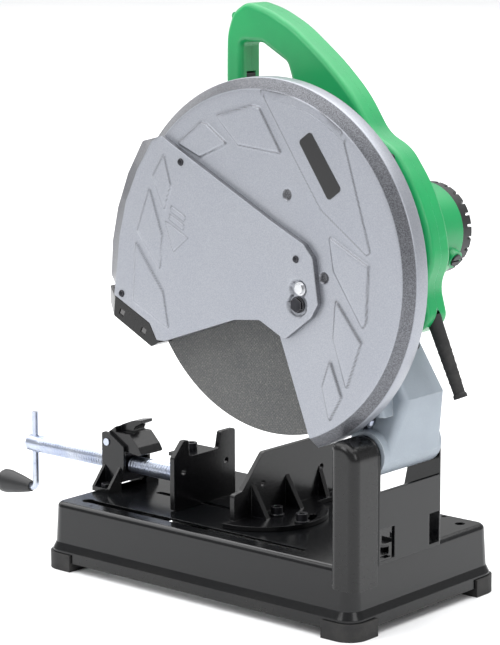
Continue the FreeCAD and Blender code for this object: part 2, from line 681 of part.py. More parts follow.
def bearings():
    """Two ball bearings of the spindle and two of the armature."""
    spindle_bore = SPINDLE_RADIUS + RUNNING
    shaft_bore = SHAFT_RADIUS + RUNNING
    return together([bearing(SPINDLE, 68, 80, BEARING_RADIUS, spindle_bore),
                     bearing(SPINDLE, GEAR_COVER_X + 1.5, CASTING_X - 0.5, 15, spindle_bore),
                     bearing(MOTOR, MOTOR_TAIL_X + 8, MOTOR_TAIL_X + 16, 11, shaft_bore),
                     bearing(MOTOR, GEAR_COVER_X - 7, GEAR_COVER_X + 2, 14, shaft_bore)])


# ---- arm casting --------------------------------------------------------------------------
def tangent_bridge(first, first_radius, second, second_radius, low, high):
    """Prism between two circles along their outer tangents."""
    dy = second[0] - first[0]
    dz = second[1] - first[1]
    span = math.hypot(dy, dz)
    heading = math.degrees(math.atan2(dz, dy))
    spread = math.degrees(math.acos((first_radius - second_radius) / span))
    corners = [on_circle(first, first_radius, heading - spread), on_circle(second, second_radius, heading - spread),
               on_circle(second, second_radius, heading + spread), on_circle(first, first_radius, heading + spread)]
    return prism("x", plain(corners), low, high)


def arm_section(height, x0, x1, y0, y1, radius):
    return rounded_wire("z", [(x0, y0, radius), (x1, y0, radius), (x1, y1, radius), (x0, y1, radius)], height)


def arm_casting():
    """Arm from the hinge barrel up to the gear case, with the guard's back plate."""
    hinge = (HINGE_Y, HINGE_Z)
    barrel = rod("x", hinge, BARREL_FAR, BARREL_NEAR, BARREL_RADIUS)
    arm = Part.makeLoft([arm_section(HINGE_Z - 6, BARREL_FAR + 1, BARREL_NEAR - 1, HINGE_Y - 22, HINGE_Y + 23.5, 6),
                         arm_section(HINGE_Z + 56, BARREL_FAR + 3, 60, HINGE_Y - 45, HINGE_Y + 32, 9),
                         arm_section(HINGE_Z + 112, BARREL_FAR + 10, 60, HINGE_Y - 85, HINGE_Y + 2, 9)], True, True)
    neck = Part.makeLoft([arm_section(HINGE_Z + 40, 30, BARREL_NEAR - 2, HINGE_Y - 38, HINGE_Y + 20, 6),
                          arm_section(HINGE_Z + 158, CASTING_X, BARREL_NEAR - 2, SPINDLE_Y - 20, HINGE_Y - 22, 6)], True, True)
    case = [rod("x", SPINDLE, CASTING_X, NEAR_EAR_X, SPINDLE_BOSS), rod("x", MOTOR, CASTING_X, 74, MOTOR_BOSS),
            tangent_bridge(SPINDLE, SPINDLE_BOSS, MOTOR, MOTOR_BOSS, CASTING_X, 74)]
    profile = [(0, GUARD_BACK_X - BACK_PLATE), (PLATE_RADIUS, GUARD_BACK_X - BACK_PLATE), (PLATE_RADIUS, GUARD_BACK_X), (0, GUARD_BACK_X)]
    plate = turned("x", SPINDLE, profile, GUARD_START, GUARD_END - GUARD_START)
    body = joined([barrel, arm, neck, plate] + case)
    room = [rod("x", SPINDLE, CASTING_X - 1, GEAR_X + GEAR_WIDTH + 3, MODULE * GEAR_TEETH / 2 + 3.5),
            rod("x", MOTOR, CASTING_X - 1, GEAR_X + PINION_LENGTH + 1, MODULE * PINION_TEETH / 2 + 4),
            rod("x", MOTOR, GEAR_X, GEAR_X + PINION_LENGTH + 4, 4 + RUNNING),
            rod("x", SPINDLE, 60, 80, BEARING_RADIUS), rod("x", SPINDLE, 60, GUARD_BACK_X + 1, SPINDLE_RADIUS + 2),
            rod("x", SPINDLE, WHEEL_BACK_X - FLANGE_WIDTH - 1.5, GUARD_BACK_X + 1, FLANGE_RADIUS + 2),
            rod("x", hinge, BARREL_FAR - 1, BARREL_NEAR + 1, PIN_RADIUS + RUNNING),
            rod("x", hinge, SPRING_X - 3, SPRING_X + SPRING_LENGTH + 3, SPRING_COIL + SPRING_WIRE + 1)]
    for cut in room:
        body = body.cut(cut)
    for place in guard_screw_places():
        body = body.cut(rod("x", place, NEAR_EAR_X - 2, GUARD_BACK_X + 1, 2.5 + PLAY))
    for place in gear_cover_screw_places():
        body = body.cut(rod("x", place, CASTING_X - 1, CASTING_X + 13, 2.4))
    body = body.cut(gear_cover_block())
    body = body.cut(rod("z", STOP_PLACE, STOP_SEAT - 8, STOP_SEAT + 30, 8)).cut(rod("z", STOP_PLACE, STOP_SEAT - 20, STOP_SEAT, 4))
    return body


def gear_cover_screw_places():
    return [on_circle(SPINDLE, SPINDLE_BOSS - 5, angle) for angle in (110, 180, 250, 300)] + \
           [on_circle(MOTOR, MOTOR_BOSS - 5, angle) for angle in (75, 5, 320)]


def gear_cover_block():
    return joined([rod("x", SPINDLE, GEAR_COVER_X, CASTING_X, SPINDLE_BOSS), rod("x", MOTOR, GEAR_COVER_X, CASTING_X, MOTOR_BOSS),
                   tangent_bridge(SPINDLE, SPINDLE_BOSS, MOTOR, MOTOR_BOSS, GEAR_COVER_X, CASTING_X)])


def gear_cover():
    plate = gear_cover_block()
    plate = plate.cut(rod("x", SPINDLE, GEAR_COVER_X + 1.5, CASTING_X + 1, 15))
    plate = plate.cut(rod("x", MOTOR, GEAR_COVER_X - 1, CASTING_X + 1, SHAFT_RADIUS + 1.5))
    plate = plate.cut(rod("x", MOTOR, GEAR_COVER_X - 1, GEAR_COVER_X + 2, 14))
    for place in gear_cover_screw_places():
        plate = plate.cut(rod("x", place, GEAR_COVER_X - 1, CASTING_X + 1, 2.5 + PLAY))
        plate = plate.cut(rod("x", place, GEAR_COVER_X - 1, GEAR_COVER_X + 4, 5 + PLAY))
    return plate


def casting_screws():
    """Screws of the gear cover and of the wheel guard, both driven from the motor's side."""
    cover = [pan_screw("x", place, GEAR_COVER_X + 4, -1, 14, 2.4) for place in gear_cover_screw_places()]
    guard = [pan_screw("x", place, GUARD_BACK_X - BACK_PLATE, -1, 14, 2.5) for place in guard_screw_places()]
    return together(cover + guard)


# ---- wheel guard --------------------------------------------------------------------------
GUARD_BOSS_RADIUS = 4.5
GUARD_BOSS_CIRCLE = 185.4
GUARD_BOSS_ANGLES = (-64, -20, 40, 95, 140, 176)


def guard_screw_places():
    return [on_circle(SPINDLE, GUARD_BOSS_CIRCLE, angle) for angle in GUARD_BOSS_ANGLES]


def main_guard():
    """Front half of the guard: rim, bevel and face, open below and where the side cover closes it."""
    inner = GUARD_RADIUS - GUARD_SHEET
    rim_profile = [(inner, GUARD_BACK_X), (GUARD_RADIUS, GUARD_BACK_X), (GUARD_RADIUS, GUARD_BEVEL_X), (GUARD_FACE_RADIUS, GUARD_FACE_X),
                   (GUARD_FACE_RADIUS - 8, GUARD_FACE_X), (GUARD_FACE_RADIUS - 8, GUARD_FACE_X - GUARD_SHEET),
                   (GUARD_FACE_RADIUS - GUARD_SHEET * 0.5, GUARD_FACE_X - GUARD_SHEET), (inner, GUARD_BEVEL_X - GUARD_SHEET * 0.5)]
    rim = turned("x", SPINDLE, rim_profile, GUARD_START, GUARD_END - GUARD_START)
    face_profile = [(0, GUARD_FACE_X - GUARD_SHEET), (GUARD_FACE_RADIUS - 6, GUARD_FACE_X - GUARD_SHEET), (GUARD_FACE_RADIUS - 6, GUARD_FACE_X), (0, GUARD_FACE_X)]
    face = turned("x", SPINDLE, face_profile, GUARD_START, FACE_END - GUARD_START)
    tongue = rod("x", SPINDLE, GUARD_FACE_X - GUARD_SHEET, GUARD_FACE_X, HUB_HOLE + 12)
    bosses = []
    for place in guard_screw_places():
        bosses.append(rod("x", place, GUARD_BACK_X, GUARD_BEVEL_X + 1.5, GUARD_BOSS_RADIUS))
    body = joined([rim, face, tongue] + bosses)
    body = body.cut(rod("x", SPINDLE, GUARD_FACE_X - 5, GUARD_FACE_X + 1, HUB_HOLE))
    for place in guard_screw_places():
        body = body.cut(rod("x", place, GUARD_BACK_X - 1, GUARD_BACK_X + 11, 2.5))
    for centre, radius in ((COVER_PIVOT, 4), (COVER_SCREW, 2.5)):
        body = body.cut(rod("x", centre, GUARD_FACE_X - 5, GUARD_FACE_X + 1, radius))
    for centre in FACE_HOLES:
        body = body.cut(rod("x", centre, GUARD_FACE_X - 5, GUARD_FACE_X + 1, 5.5))
    return body


FACE_HOLES = [(125.2, 449.0), (173.0, 369.3)]


def name_plate():
    """Blank plate riveted to the guard's face."""
    corners = [(140.8, 504.2, 4), (179.4, 447.3, 4), (195.8, 459.7, 4), (156.2, 515.2, 4)]
    return prism("x", corners, GUARD_FACE_X, GUARD_FACE_X + 1)


# ---- side cover ---------------------------------------------------------------------------
COVER_SIDES = [(-41.0, 497.7, 4), (108.2, 422.4, 20), (151.8, 402.1, 8), (163.5, 389.0, 10), (170.5, 343.0, 10), (161.8, 328.3, 10),
               (127.0, 302.0, 8), (93.7, 318.0, 12), (59.3, 314.1, 20), (-37.7, 279.7, 4), (-50.0, 279.0, 4), (-60.0, 296.5, 4),
               (-111.6, 321.3, 6)]
FACE_ARC = [(-107.2, 351.0), (-92.8, 424.1), (-53.8, 491.8)]
RIM_ARC = [(-123.0, 341.0), (-112.0, 415.0), (-74.7, 489.0)]
RIM_BACK_X = 98.0
RIM_BEVEL_X = 113.0
COVER_TAB = [(-109.0, 310.0, 2), (-88.0, 300.0, 2), (-90.0, 328.0, 4), (-108.0, 334.0, 4)]


def cover_section(arc, along, inset):
    """Outline of the side cover at one plane: its rounded sides closed by the long front arc."""
    corners = [(arc[2][0], arc[2][1], 0)] + COVER_SIDES + [(arc[0][0], arc[0][1], 0)]
    wire = rounded_wire("x", corners, along, arc[1])
    return wire.makeOffset2D(-inset, 2) if inset else wire


def cover_block(inset, back, front):
    """Full shape of the side cover: rim prism behind, then the bevel up to the flat face."""
    rim = Part.Face(cover_section(RIM_ARC, back, inset)).extrude(V(RIM_BEVEL_X - back, 0, 0))
    bevel = Part.makeLoft([cover_section(RIM_ARC, RIM_BEVEL_X, inset), cover_section(FACE_ARC, front, inset)], True, True)
    return rim.fuse(bevel)


def side_cover():
    """Pressed cover over the open quarter of the guard, with a rim that drops in front of the guard."""
    lip_x = GUARD_FACE_X + PLAY * 2
    shell = cover_block(0, RIM_BACK_X, COVER_FACE_X)
    shell = shell.cut(cover_block(COVER_SHEET, RIM_BACK_X - 1, COVER_FACE_X - COVER_SHEET))
    shell = shell.cut(rod("x", SPINDLE, RIM_BACK_X - 1, lip_x, GUARD_RADIUS + PLAY * 2))
    slot_places = [turn_about(COVER_PIVOT, COVER_SCREW, angle) for angle in range(0, 14, 2)]
    floor = COVER_FACE_X - COVER_RECESS
    wells = [rod("x", COVER_PIVOT, floor - COVER_SHEET, COVER_FACE_X - 0.5, 12 + COVER_SHEET)]
    wells += [rod("x", place, floor - COVER_SHEET, COVER_FACE_X - 0.5, 8.5 + COVER_SHEET) for place in slot_places]
    shell = joined([shell] + [well.common(cover_block(0.5, RIM_BACK_X, COVER_FACE_X)) for well in wells])
    shell = shell.cut(rod("x", COVER_PIVOT, floor, COVER_FACE_X + 1, 12))
    shell = shell.cut(rod("x", COVER_PIVOT, lip_x, COVER_FACE_X + 1, 4 + RUNNING))
    for place in slot_places:
        shell = shell.cut(rod("x", place, floor, COVER_FACE_X + 1, 8.5)).cut(rod("x", place, lip_x, COVER_FACE_X + 1, 3))
    for centre in COVER_RIVETS:
        shell = shell.cut(rod("x", centre, COVER_FACE_X - 3, COVER_FACE_X + 1, 2))
    return shell.cut(prism("x", COVER_TAB, RIM_BACK_X - 1, COVER_FACE_X - COVER_SHEET))


def turn_about(centre, point, degrees):
    angle = math.radians(degrees)
    dy = point[0] - centre[0]
    dz = point[1] - centre[1]
    return (centre[0] + dy * math.cos(angle) - dz * math.sin(angle), centre[1] + dy * math.sin(angle) + dz * math.cos(angle))


def deflector_block(inset, back, front):
    """Full shape of the deflector: a bevel in front, as the cover's, down to its deep front wall."""
    face = rounded_wire("x", DEFLECTOR_FACE, front)
    root = [(DEFLECTOR_FRONT, 329.0, 2)] + DEFLECTOR_FACE[1:4] + [(DEFLECTOR_FRONT, 308.0, 2)]
    deep = rounded_wire("x", root, DEFLECTOR_BEVEL_X)
    base = rounded_wire("x", root, back)
    if inset:
        face, deep, base = [wire.makeOffset2D(-inset, 0) for wire in (face, deep, base)]
    bevel = Part.makeLoft([deep, face], True, True)
    return Part.Face(base).extrude(V(DEFLECTOR_BEVEL_X - back, 0, 0)).fuse(bevel)


def spark_deflector():
    """Front spark deflector: hollow pressing under the cover's front corner, with two square holes."""
    inside = COVER_FACE_X - COVER_SHEET
    block = deflector_block(0, DEFLECTOR_X, COVER_FACE_X)
    block = block.cut(deflector_block(2.0, DEFLECTOR_X - 1, COVER_FACE_X - 2))
    block = block.cut(cover_block(0, RIM_BACK_X - 1, COVER_FACE_X))
    block = block.fuse(prism("x", COVER_TAB, inside - TAB_THICKNESS, inside)).removeSplitter()
    block = block.cut(rod("x", COVER_RIVETS[1], inside - TAB_THICKNESS - 1, inside + 1, 2))
    for centre in ((-100.0, 303.2), (-68.8, 287.0)):
        hole = box(COVER_FACE_X - 4, COVER_FACE_X + 1, centre[0] - 3.6, centre[0] + 3.6, centre[1] - 3.2, centre[1] + 3.2)
        hole.rotate(V(0, centre[0], centre[1]), V(1, 0, 0), -26)
        block = block.cut(hole)
    return block


DEFLECTOR_FACE = [(-109.4, 321.6, 2), (-58.7, 296.3, 3), (-44.8, 277.9, 3), (-57.4, 271.4, 3), (-112.0, 298.7, 2)]
DEFLECTOR_FRONT = -131.0
DEFLECTOR_BEVEL_X = 107.0
DEFLECTOR_X = 98.0
TAB_THICKNESS = 2.0
COVER_RIVETS = [(-13.0, 472.0), (-100.0, 324.0), (142.0, 386.0)]


def cover_rivets():
    """Flat-headed rivets through the cover, each with its tail inside."""
    parts = []
    inside = COVER_FACE_X - COVER_SHEET
    for index, centre in enumerate(COVER_RIVETS):
        head = turned("x", centre, [(0, COVER_FACE_X), (4, COVER_FACE_X), (3, COVER_FACE_X + 1.6), (0, COVER_FACE_X + 2.2)])
        depth = TAB_THICKNESS if index == 1 else 0
        shank = rod("x", centre, inside - depth - 1, COVER_FACE_X, 2)
        tail = rod("x", centre, inside - depth - 1.5, inside - depth, 3.5)
        parts.append(joined([head, shank, tail]))
    return together(parts)


def cover_pivot_bolt():
    """Shoulder bolt that the side cover turns on, with its nut behind the guard's face."""
    top = COVER_FACE_X - COVER_RECESS + PLAY
    shoulder = rod("x", COVER_PIVOT, GUARD_FACE_X, top, 4)
    head = hexagon("x", COVER_PIVOT, top, top + 4.5, 13)
    collar = rod("x", COVER_PIVOT, top, top + 1.5, 8.5)
    thread = rod("x", COVER_PIVOT, GUARD_FACE_X - 8, GUARD_FACE_X, 4)
    nut = hexagon("x", COVER_PIVOT, GUARD_FACE_X - GUARD_SHEET - 5, GUARD_FACE_X - GUARD_SHEET, 13).cut(thread)
    return together([joined([shoulder, head, collar, thread]), nut])


def cover_slot_screw():
    """Washer-head screw in the cover's curved slot."""
    top = COVER_FACE_X - COVER_RECESS + PLAY
    head = rod("x", COVER_SCREW, top, top + 4, 5.0)
    washer = rod("x", COVER_SCREW, top, top + 1.2, 7)
    shank = rod("x", COVER_SCREW, GUARD_FACE_X - 6, top, 2.5)
    return joined([head, washer, shank])


# ---- motor --------------------------------------------------------------------------------
STATOR_RADIUS = 46.0
TAIL_RADIUS = 50.0
BRUSH_HEIGHT = 59.0
BRUSH_X = CORE_LOW - 22
BRUSH_ANGLES = (-26.6, 153.4)


def motor_housing():
    """Moulded motor body, open at both ends, with bosses for the two brush holders."""
    low = TAIL_JOINT_X
    high = GEAR_COVER_X
    inner = MOTOR_RADIUS - MOTOR_WALL
    tube = ring("x", MOTOR, low, high, MOTOR_RADIUS, inner)
    rim = ring("x", MOTOR, HANDLE_HIGH, high, MOTOR_BOSS, inner)
    body = tube.fuse(rim)
    for angle in BRUSH_ANGLES:
        boss = Part.makeCylinder(10, BRUSH_HEIGHT - 40, V(BRUSH_X, *on_circle(MOTOR, 40, angle)), V(0, *on_circle((0, 0), 1, angle)))
        body = body.fuse(boss)
    body = body.cut(rod("x", MOTOR, BRUSH_X - 14, BRUSH_X + 14, 40))
    for angle in BRUSH_ANGLES:
        hole = Part.makeCylinder(7, 40, V(BRUSH_X, *on_circle(MOTOR, 30, angle)), V(0, *on_circle((0, 0), 1, angle)))
        body = body.cut(hole)
    for index in range(-3, 4):
        vent = box(-100, -92, MOTOR_Y - 2.2, MOTOR_Y + 2.2, MOTOR_Z + 44, MOTOR_Z + 60)
        vent.rotate(V(0, MOTOR_Y, MOTOR_Z), V(1, 0, 0), 180 + index * 12)
        body = body.cut(vent)
    return body


def stator():
    """Field core: laminated ring with two pole shoes."""
    core = ring("x", MOTOR, CORE_LOW, CORE_HIGH, STATOR_RADIUS, STATOR_RADIUS - 7)
    shoes = ring("x", MOTOR, CORE_LOW, CORE_HIGH, STATOR_RADIUS - 6, CORE_RADIUS + 0.7)
    keep = box(CORE_LOW, CORE_HIGH, MOTOR_Y - 60, MOTOR_Y + 60, MOTOR_Z - 15, MOTOR_Z + 15)
    seat = ring("x", MOTOR, CORE_LOW + 10, CORE_HIGH - 10, MOTOR_RADIUS - MOTOR_WALL, STATOR_RADIUS - 1)
    return joined([core, shoes.common(keep), seat])


def field_coils():
    """Two windings in the gaps between the pole shoes."""
    coils = []
    block = ring("x", MOTOR, CORE_LOW - 6, CORE_HIGH + 6, STATOR_RADIUS - 7, CORE_RADIUS + 2)
    for side in (1, -1):
        low = MOTOR_Z + side * 16
        high = MOTOR_Z + side * 38
        keep = box(CORE_LOW - 6, CORE_HIGH + 6, MOTOR_Y - 24, MOTOR_Y + 24, min(low, high), max(low, high))
        coils.append(block.common(keep))
    return together(coils)


def tail_cover():
    """Vented end cap of the motor, with the rear bearing's seat."""
    low = MOTOR_TAIL_X
    wall = 3.0
    profile = [(0, low), (TAIL_RADIUS - 8, low), (TAIL_RADIUS, low + 7), (TAIL_RADIUS, TAIL_JOINT_X), (TAIL_RADIUS - wall, TAIL_JOINT_X),
               (TAIL_RADIUS - wall, low + 8), (TAIL_RADIUS - 10, low + wall), (0, low + wall)]
    cap = turned("x", MOTOR, profile)
    seat = ring("x", MOTOR, low + wall - 0.5, low + 16, 15, 11)
    lip = ring("x", MOTOR, TAIL_JOINT_X - 4, TAIL_JOINT_X + 5, MOTOR_RADIUS - MOTOR_WALL, MOTOR_RADIUS - MOTOR_WALL - 3)
    cap = joined([cap, seat, lip])
    for index in range(24):
        vent = box(low - 1, low + 14, MOTOR_Y - 1.6, MOTOR_Y + 1.6, MOTOR_Z + 24, MOTOR_Z + 60)
        vent = vent.cut(box(low + 6, low + 15, MOTOR_Y - 3, MOTOR_Y + 3, MOTOR_Z + 20, MOTOR_Z + 42))
        vent.rotate(V(0, MOTOR_Y, MOTOR_Z), V(1, 0, 0), index * 15 + 7.5)
        cap = cap.cut(vent)
    for place in tail_screw_places():
        cap = cap.cut(rod("x", place, low - 1, low + 12, 2 + PLAY))
    return cap


def tail_screw_places():
    return [on_circle(MOTOR, 20, angle) for angle in (0, 90, 180, 270)]


def brush_caps():
    caps = []
    for angle in BRUSH_ANGLES:
        out = V(0, *on_circle((0, 0), 1, angle))
        base = V(BRUSH_X, *on_circle(MOTOR, BRUSH_HEIGHT - 8, angle))
        cap = Part.makeCylinder(7, 10, base, out)
        across = Part.makeBox(20, 2, 2, V(-10, -1, 0))
        across.rotate(V(0, 0, 0), V(1, 0, 0), angle - 90)
        across.translate(base + out * 8.5)
        caps.append(cap.cut(across))
    return together(caps)


def carbon_brushes():
    brushes = []
    for angle in BRUSH_ANGLES:
        block = box(BRUSH_X - 4, BRUSH_X + 4, MOTOR_Y - 3, MOTOR_Y + 3, MOTOR_Z + 13 + PLAY, MOTOR_Z + BRUSH_HEIGHT - 8)
        block.rotate(V(0, MOTOR_Y, MOTOR_Z), V(1, 0, 0), angle - 90)
        brushes.append(block)
    return together(brushes)


# ---- handle -------------------------------------------------------------------------------
HANDLE_WALL = 3.0
HANDLE_LOW = HANDLE_X - HANDLE_WIDTH / 2
HANDLE_HIGH = HANDLE_X + HANDLE_WIDTH / 2
HANDLE_POINTS = [(-25.0, 500.0), (-26.0, 560.0), (-25.0, 600.0), (-16.0, 623.0), (3.0, 634.0), (32.0, 627.0), (66.0, 611.0),
                 (112.0, 577.0), (146.0, 545.0), (172.0, 506.0), (200.0, 493.0), (226.0, 458.0), (243.0, 418.0), (249.0, 382.0),
                 (237.5, 355.0), (247.0, 320.0), (226.0, 306.0), (204.0, 301.0), (150.0, 318.0), (96.0, 334.0), (68.0, 372.0),
                 (66.0, 440.0), (20.0, 462.0), (-12.0, 468.0)]
GRIP_OPENING = [(-4.0, 503.0, 8), (-4.0, 592.0, 6), (24.0, 592.0, 12), (58.0, 573.0, 12), (68.0, 545.0, 14), (52.0, 503.0, 12)]
HANDLE_SCREWS = [(-14.0, 618.0), (96.0, 575.0), (40.0, 482.0), (190.0, 480.0), (228.0, 400.0), (210.0, 316.0)]
TRIGGER_HALF = 7.0
TRIGGER_PIVOT = (-13.5, 556.0)
TRIGGER_PIN = 2.0
LOCK_PLACE = (-6.0, 486.0)
LOCK_RADIUS = 4.5
ARMOUR_TOP = (243.0, 314.0)
ARMOUR_END = (274.0, 245.0)
ARMOUR_BORE = 4.0


def handle_block(inset, low, high):
    """Handle's full shape between two planes, with its walls moved inwards."""
    outline = rounded_wire("x", eased(HANDLE_POINTS, 0.4), low)
    opening = rounded_wire("x", GRIP_OPENING, low)
    if inset:
        outline = outline.makeOffset2D(-inset, 2)
        opening = opening.makeOffset2D(inset, 2)
    block = Part.Face(outline).extrude(V(high - low, 0, 0))
    return block.cut(Part.Face(opening).extrude(V(high - low, 0, 0)))


def armour_frame():
    """Root, direction and length of the cord armour, which slopes down behind the handle."""
    top = V(HANDLE_X, ARMOUR_TOP[0], ARMOUR_TOP[1])
    end = V(HANDLE_X, ARMOUR_END[0], ARMOUR_END[1])
    line = (end - top).normalize()
    return top - line * 12, line, top.distanceToPoint(end) + 12


def handle_shell(side):
    """One clam half: hollow, with screw bosses, trigger slot, lock-button hole and motor opening."""
    outer_face = HANDLE_X + side * HANDLE_WIDTH / 2
    inner_face = outer_face - side * HANDLE_WALL
    low = min(HANDLE_X, outer_face)
    high = max(HANDLE_X, outer_face)
    shell = handle_block(0, low, high)
    edges = [edge for edge in shell.Edges if abs(edge.BoundBox.XMin - outer_face) < 0.01 and abs(edge.BoundBox.XMax - outer_face) < 0.01]
    shell = shell.makeFillet(HANDLE_ROUND, edges)
    shell = shell.cut(handle_block(HANDLE_WALL, min(HANDLE_X - side, inner_face), max(HANDLE_X - side, inner_face)))
    collar = ring("x", MOTOR, low, high, MOTOR_RADIUS + HANDLE_WALL, MOTOR_RADIUS).common(handle_block(1, low, high))
    inner = min(HANDLE_X, inner_face)
    outer = max(HANDLE_X, inner_face)
    bosses = [rod("x", place, inner, outer, 4.5) for place in HANDLE_SCREWS]
    pin_end = HANDLE_X + side * (TRIGGER_HALF + PLAY)
    bosses.append(rod("x", TRIGGER_PIVOT, min(pin_end, inner_face), max(pin_end, inner_face), 4))
    shell = joined([shell, collar] + bosses)
    shell = shell.cut(rod("x", MOTOR, low - 1, high + 1, MOTOR_RADIUS))
    shell = shell.cut(rod("x", TRIGGER_PIVOT, low - 1, high - 1 if side > 0 else high + 1, TRIGGER_PIN)
                      .common(box(HANDLE_LOW + 1, HANDLE_HIGH - 1, -60, 60, 400, 700)))
    slot_half = TRIGGER_HALF + PLAY
    shell = shell.cut(box(HANDLE_X - slot_half, HANDLE_X + slot_half, -9, -2, 509, 560))
    root, line, length = armour_frame()
    shell = shell.cut(Part.makeCylinder(8, 24, root - line * 8, line))
    if side < 0:
        shell = shell.cut(rod("x", LOCK_PLACE, low - 1, high, LOCK_RADIUS + PLAY))
        for place in HANDLE_SCREWS:
            shell = shell.cut(rod("x", place, low - 1, high + 1, 2 + PLAY)).cut(rod("x", place, low - 1, low + 4, 4 + PLAY))
    else:
        for place in HANDLE_SCREWS:
            shell = shell.cut(rod("x", place, low - 1, high - 5, 2))
    return shell


HANDLE_ROUND = 6.0


def handle_near_half():
    return handle_shell(1)


def handle_far_half():
    return handle_shell(-1)


def housing_screws():
    """Screws of the handle's two halves and of the motor's tail cover."""
    handle = [pan_screw("x", place, HANDLE_LOW + 4, -1, 22, 2) for place in HANDLE_SCREWS]
    return together(handle + [pan_screw("x", place, MOTOR_TAIL_X, -1, 6, 2) for place in tail_screw_places()])


def trigger():
    outline = [(-15.0, 511.0, 2), (1.0, 511.0, 3), (5.5, 522.0, 5), (3.5, 538.0, 8), (-3.0, 549.0, 5), (-4.2, 558.0, 2),
               (-18.0, 561.0, 3), (-18.5, 551.0, 3), (-14.0, 544.0, 4)]
    body = prism("x", outline, HANDLE_X - TRIGGER_HALF, HANDLE_X + TRIGGER_HALF)
    return body.cut(rod("x", TRIGGER_PIVOT, HANDLE_LOW, HANDLE_HIGH, TRIGGER_PIN + RUNNING))


def trigger_pin():
    return rod("x", TRIGGER_PIVOT, HANDLE_LOW + 4, HANDLE_HIGH - 4, TRIGGER_PIN)


def switch_body():
    """Snap switch under the trigger, with its plunger."""
    block = box(HANDLE_X - 9, HANDLE_HIGH - HANDLE_WALL, -21, 14, 473, 497)
    block = block.common(handle_block(HANDLE_WALL, HANDLE_LOW, HANDLE_HIGH))
    return joined([block, rod("z", (HANDLE_X, -12), 496, 505, 3)])


def lock_button():
    low = HANDLE_LOW - 4
    head = rod("x", LOCK_PLACE, low, HANDLE_LOW + HANDLE_WALL + 1, LOCK_RADIUS)
    collar = rod("x", LOCK_PLACE, HANDLE_LOW + HANDLE_WALL + PLAY, HANDLE_LOW + HANDLE_WALL + PLAY + 1.5, LOCK_RADIUS + 1.8)
    return joined([head, collar])


def cord_armour():
    """Tapered rubber sleeve for a cord, with rings and an open end."""
    root, line, length = armour_frame()
    body = Part.makeCone(8, 6, length, root, line)
    bead = Part.makeCylinder(7.25, 4, root + line * (length - 4), line)
    body = body.fuse(bead)
    for index in range(6):
        place = root + line * (28 + index * 8)
        body = body.fuse(Part.makeCylinder(7.6 - index * 0.15, 3.5, place, line))
    return body.cut(Part.makeCylinder(ARMOUR_BORE, length + 2, root - line, line))


def stop_bolt():
    """Stop bolt with its lock nut on the hinge barrel."""
    bolt = hex_bolt("z", STOP_PLACE, STOP_SEAT, 1, 18, 4)
    nut = hexagon("z", STOP_PLACE, STOP_SEAT - 8, STOP_SEAT - 4, 13).cut(rod("z", STOP_PLACE, STOP_SEAT - 9, STOP_SEAT, 4))
    return together([bolt, nut])


STOP_PLACE = (66.0, 195.0)
STOP_SEAT = HINGE_Z + 27


# ---- fence --------------------------------------------------------------------------------
def fence_bolt_places():
    return [FENCE_PIVOT, (FENCE_PIVOT[0] + 4.6, FENCE_PIVOT[1] + CLAMP_RADIUS)]


def fence():
    """Fence plate with its half-round foot, ribs, pivot hole and curved clamp slot."""
    bottom = BASE_TOP + PLAY
    top = BASE_TOP + FENCE_HEIGHT
    far = FENCE_NEAR_X - FENCE_WIDTH
    rear = FENCE_FACE_Y + FENCE_THICKNESS
    corners = [(FENCE_NEAR_X, bottom, 0), (FENCE_NEAR_X, top - 39, 4), (56.0, top - 37, 3), (20.0, top, 5), (far, top, 6), (far, bottom, 0)]
    plate = Part.Face(rounded_wire("y", corners, FENCE_FACE_Y)).extrude(V(0, FENCE_THICKNESS, 0))
    foot = Part.makeCylinder(FOOT_ARC, FENCE_FOOT, V(12, FENCE_FACE_Y, bottom))
    foot = foot.common(box(-90, 110, FENCE_FACE_Y, 120, bottom, bottom + FENCE_FOOT))
    ribs = []
    for x in (38.0, -19.4, -76.4):
        reach = 21.5 if x > -60 else 12
        ribs.append(prism("x", plain([(rear - 1, bottom), (rear + reach, bottom), (rear + reach, bottom + FENCE_FOOT), (rear - 1, bottom + 42)]),
                          x - 3, x + 3))
    strip = box(far, FENCE_NEAR_X, FENCE_FACE_Y, rear + 14, bottom, bottom + FENCE_FOOT)
    body = joined([plate, foot, strip] + ribs)
    body = body.cut(rod("z", FENCE_PIVOT, bottom - 1, bottom + 50, 4 + RUNNING))
    body = body.cut(rod("z", FENCE_PIVOT, bottom + FENCE_FOOT, bottom + 50, 9))
    for index in range(22):
        place = turn_about(FENCE_PIVOT, fence_bolt_places()[1], index * 2.2)
        body = body.cut(rod("z", place, bottom - 1, bottom + 20, 4 + PLAY))
    for x in (21.0, -79.0):
        body = body.cut(rod("y", (x, BASE_TOP + 38), FENCE_FACE_Y - 1, rear + 1, 3.5))
    return body


FOOT_ARC = 70.0


def fence_bolts():
    """Pivot screw and clamp screw with washers, and their nuts under the base."""
    parts = []
    seat = BASE_TOP + PLAY * 2 + FENCE_FOOT
    for index, place in enumerate(fence_bolt_places()):
        washer = ring("z", place, seat, seat + 1.5, 8, 4)
        parts.append(joined([socket_screw("z", place, seat + 1.5, 1, FENCE_FOOT + 16, 4), washer]))
        nut = hexagon("z", place, BASE_TOP - SHEET - 6, BASE_TOP - SHEET, 13)
        parts.append(nut.cut(rod("z", place, BASE_TOP - SHEET - 7, BASE_TOP, 4)))
    return together(parts)


# ---- vise ---------------------------------------------------------------------------------
JAW_PIVOT_Y = JAW_FACE_Y - 20
BLOCK_RADIUS = 13.0
JAW_TOP_FLANGE = 133.0


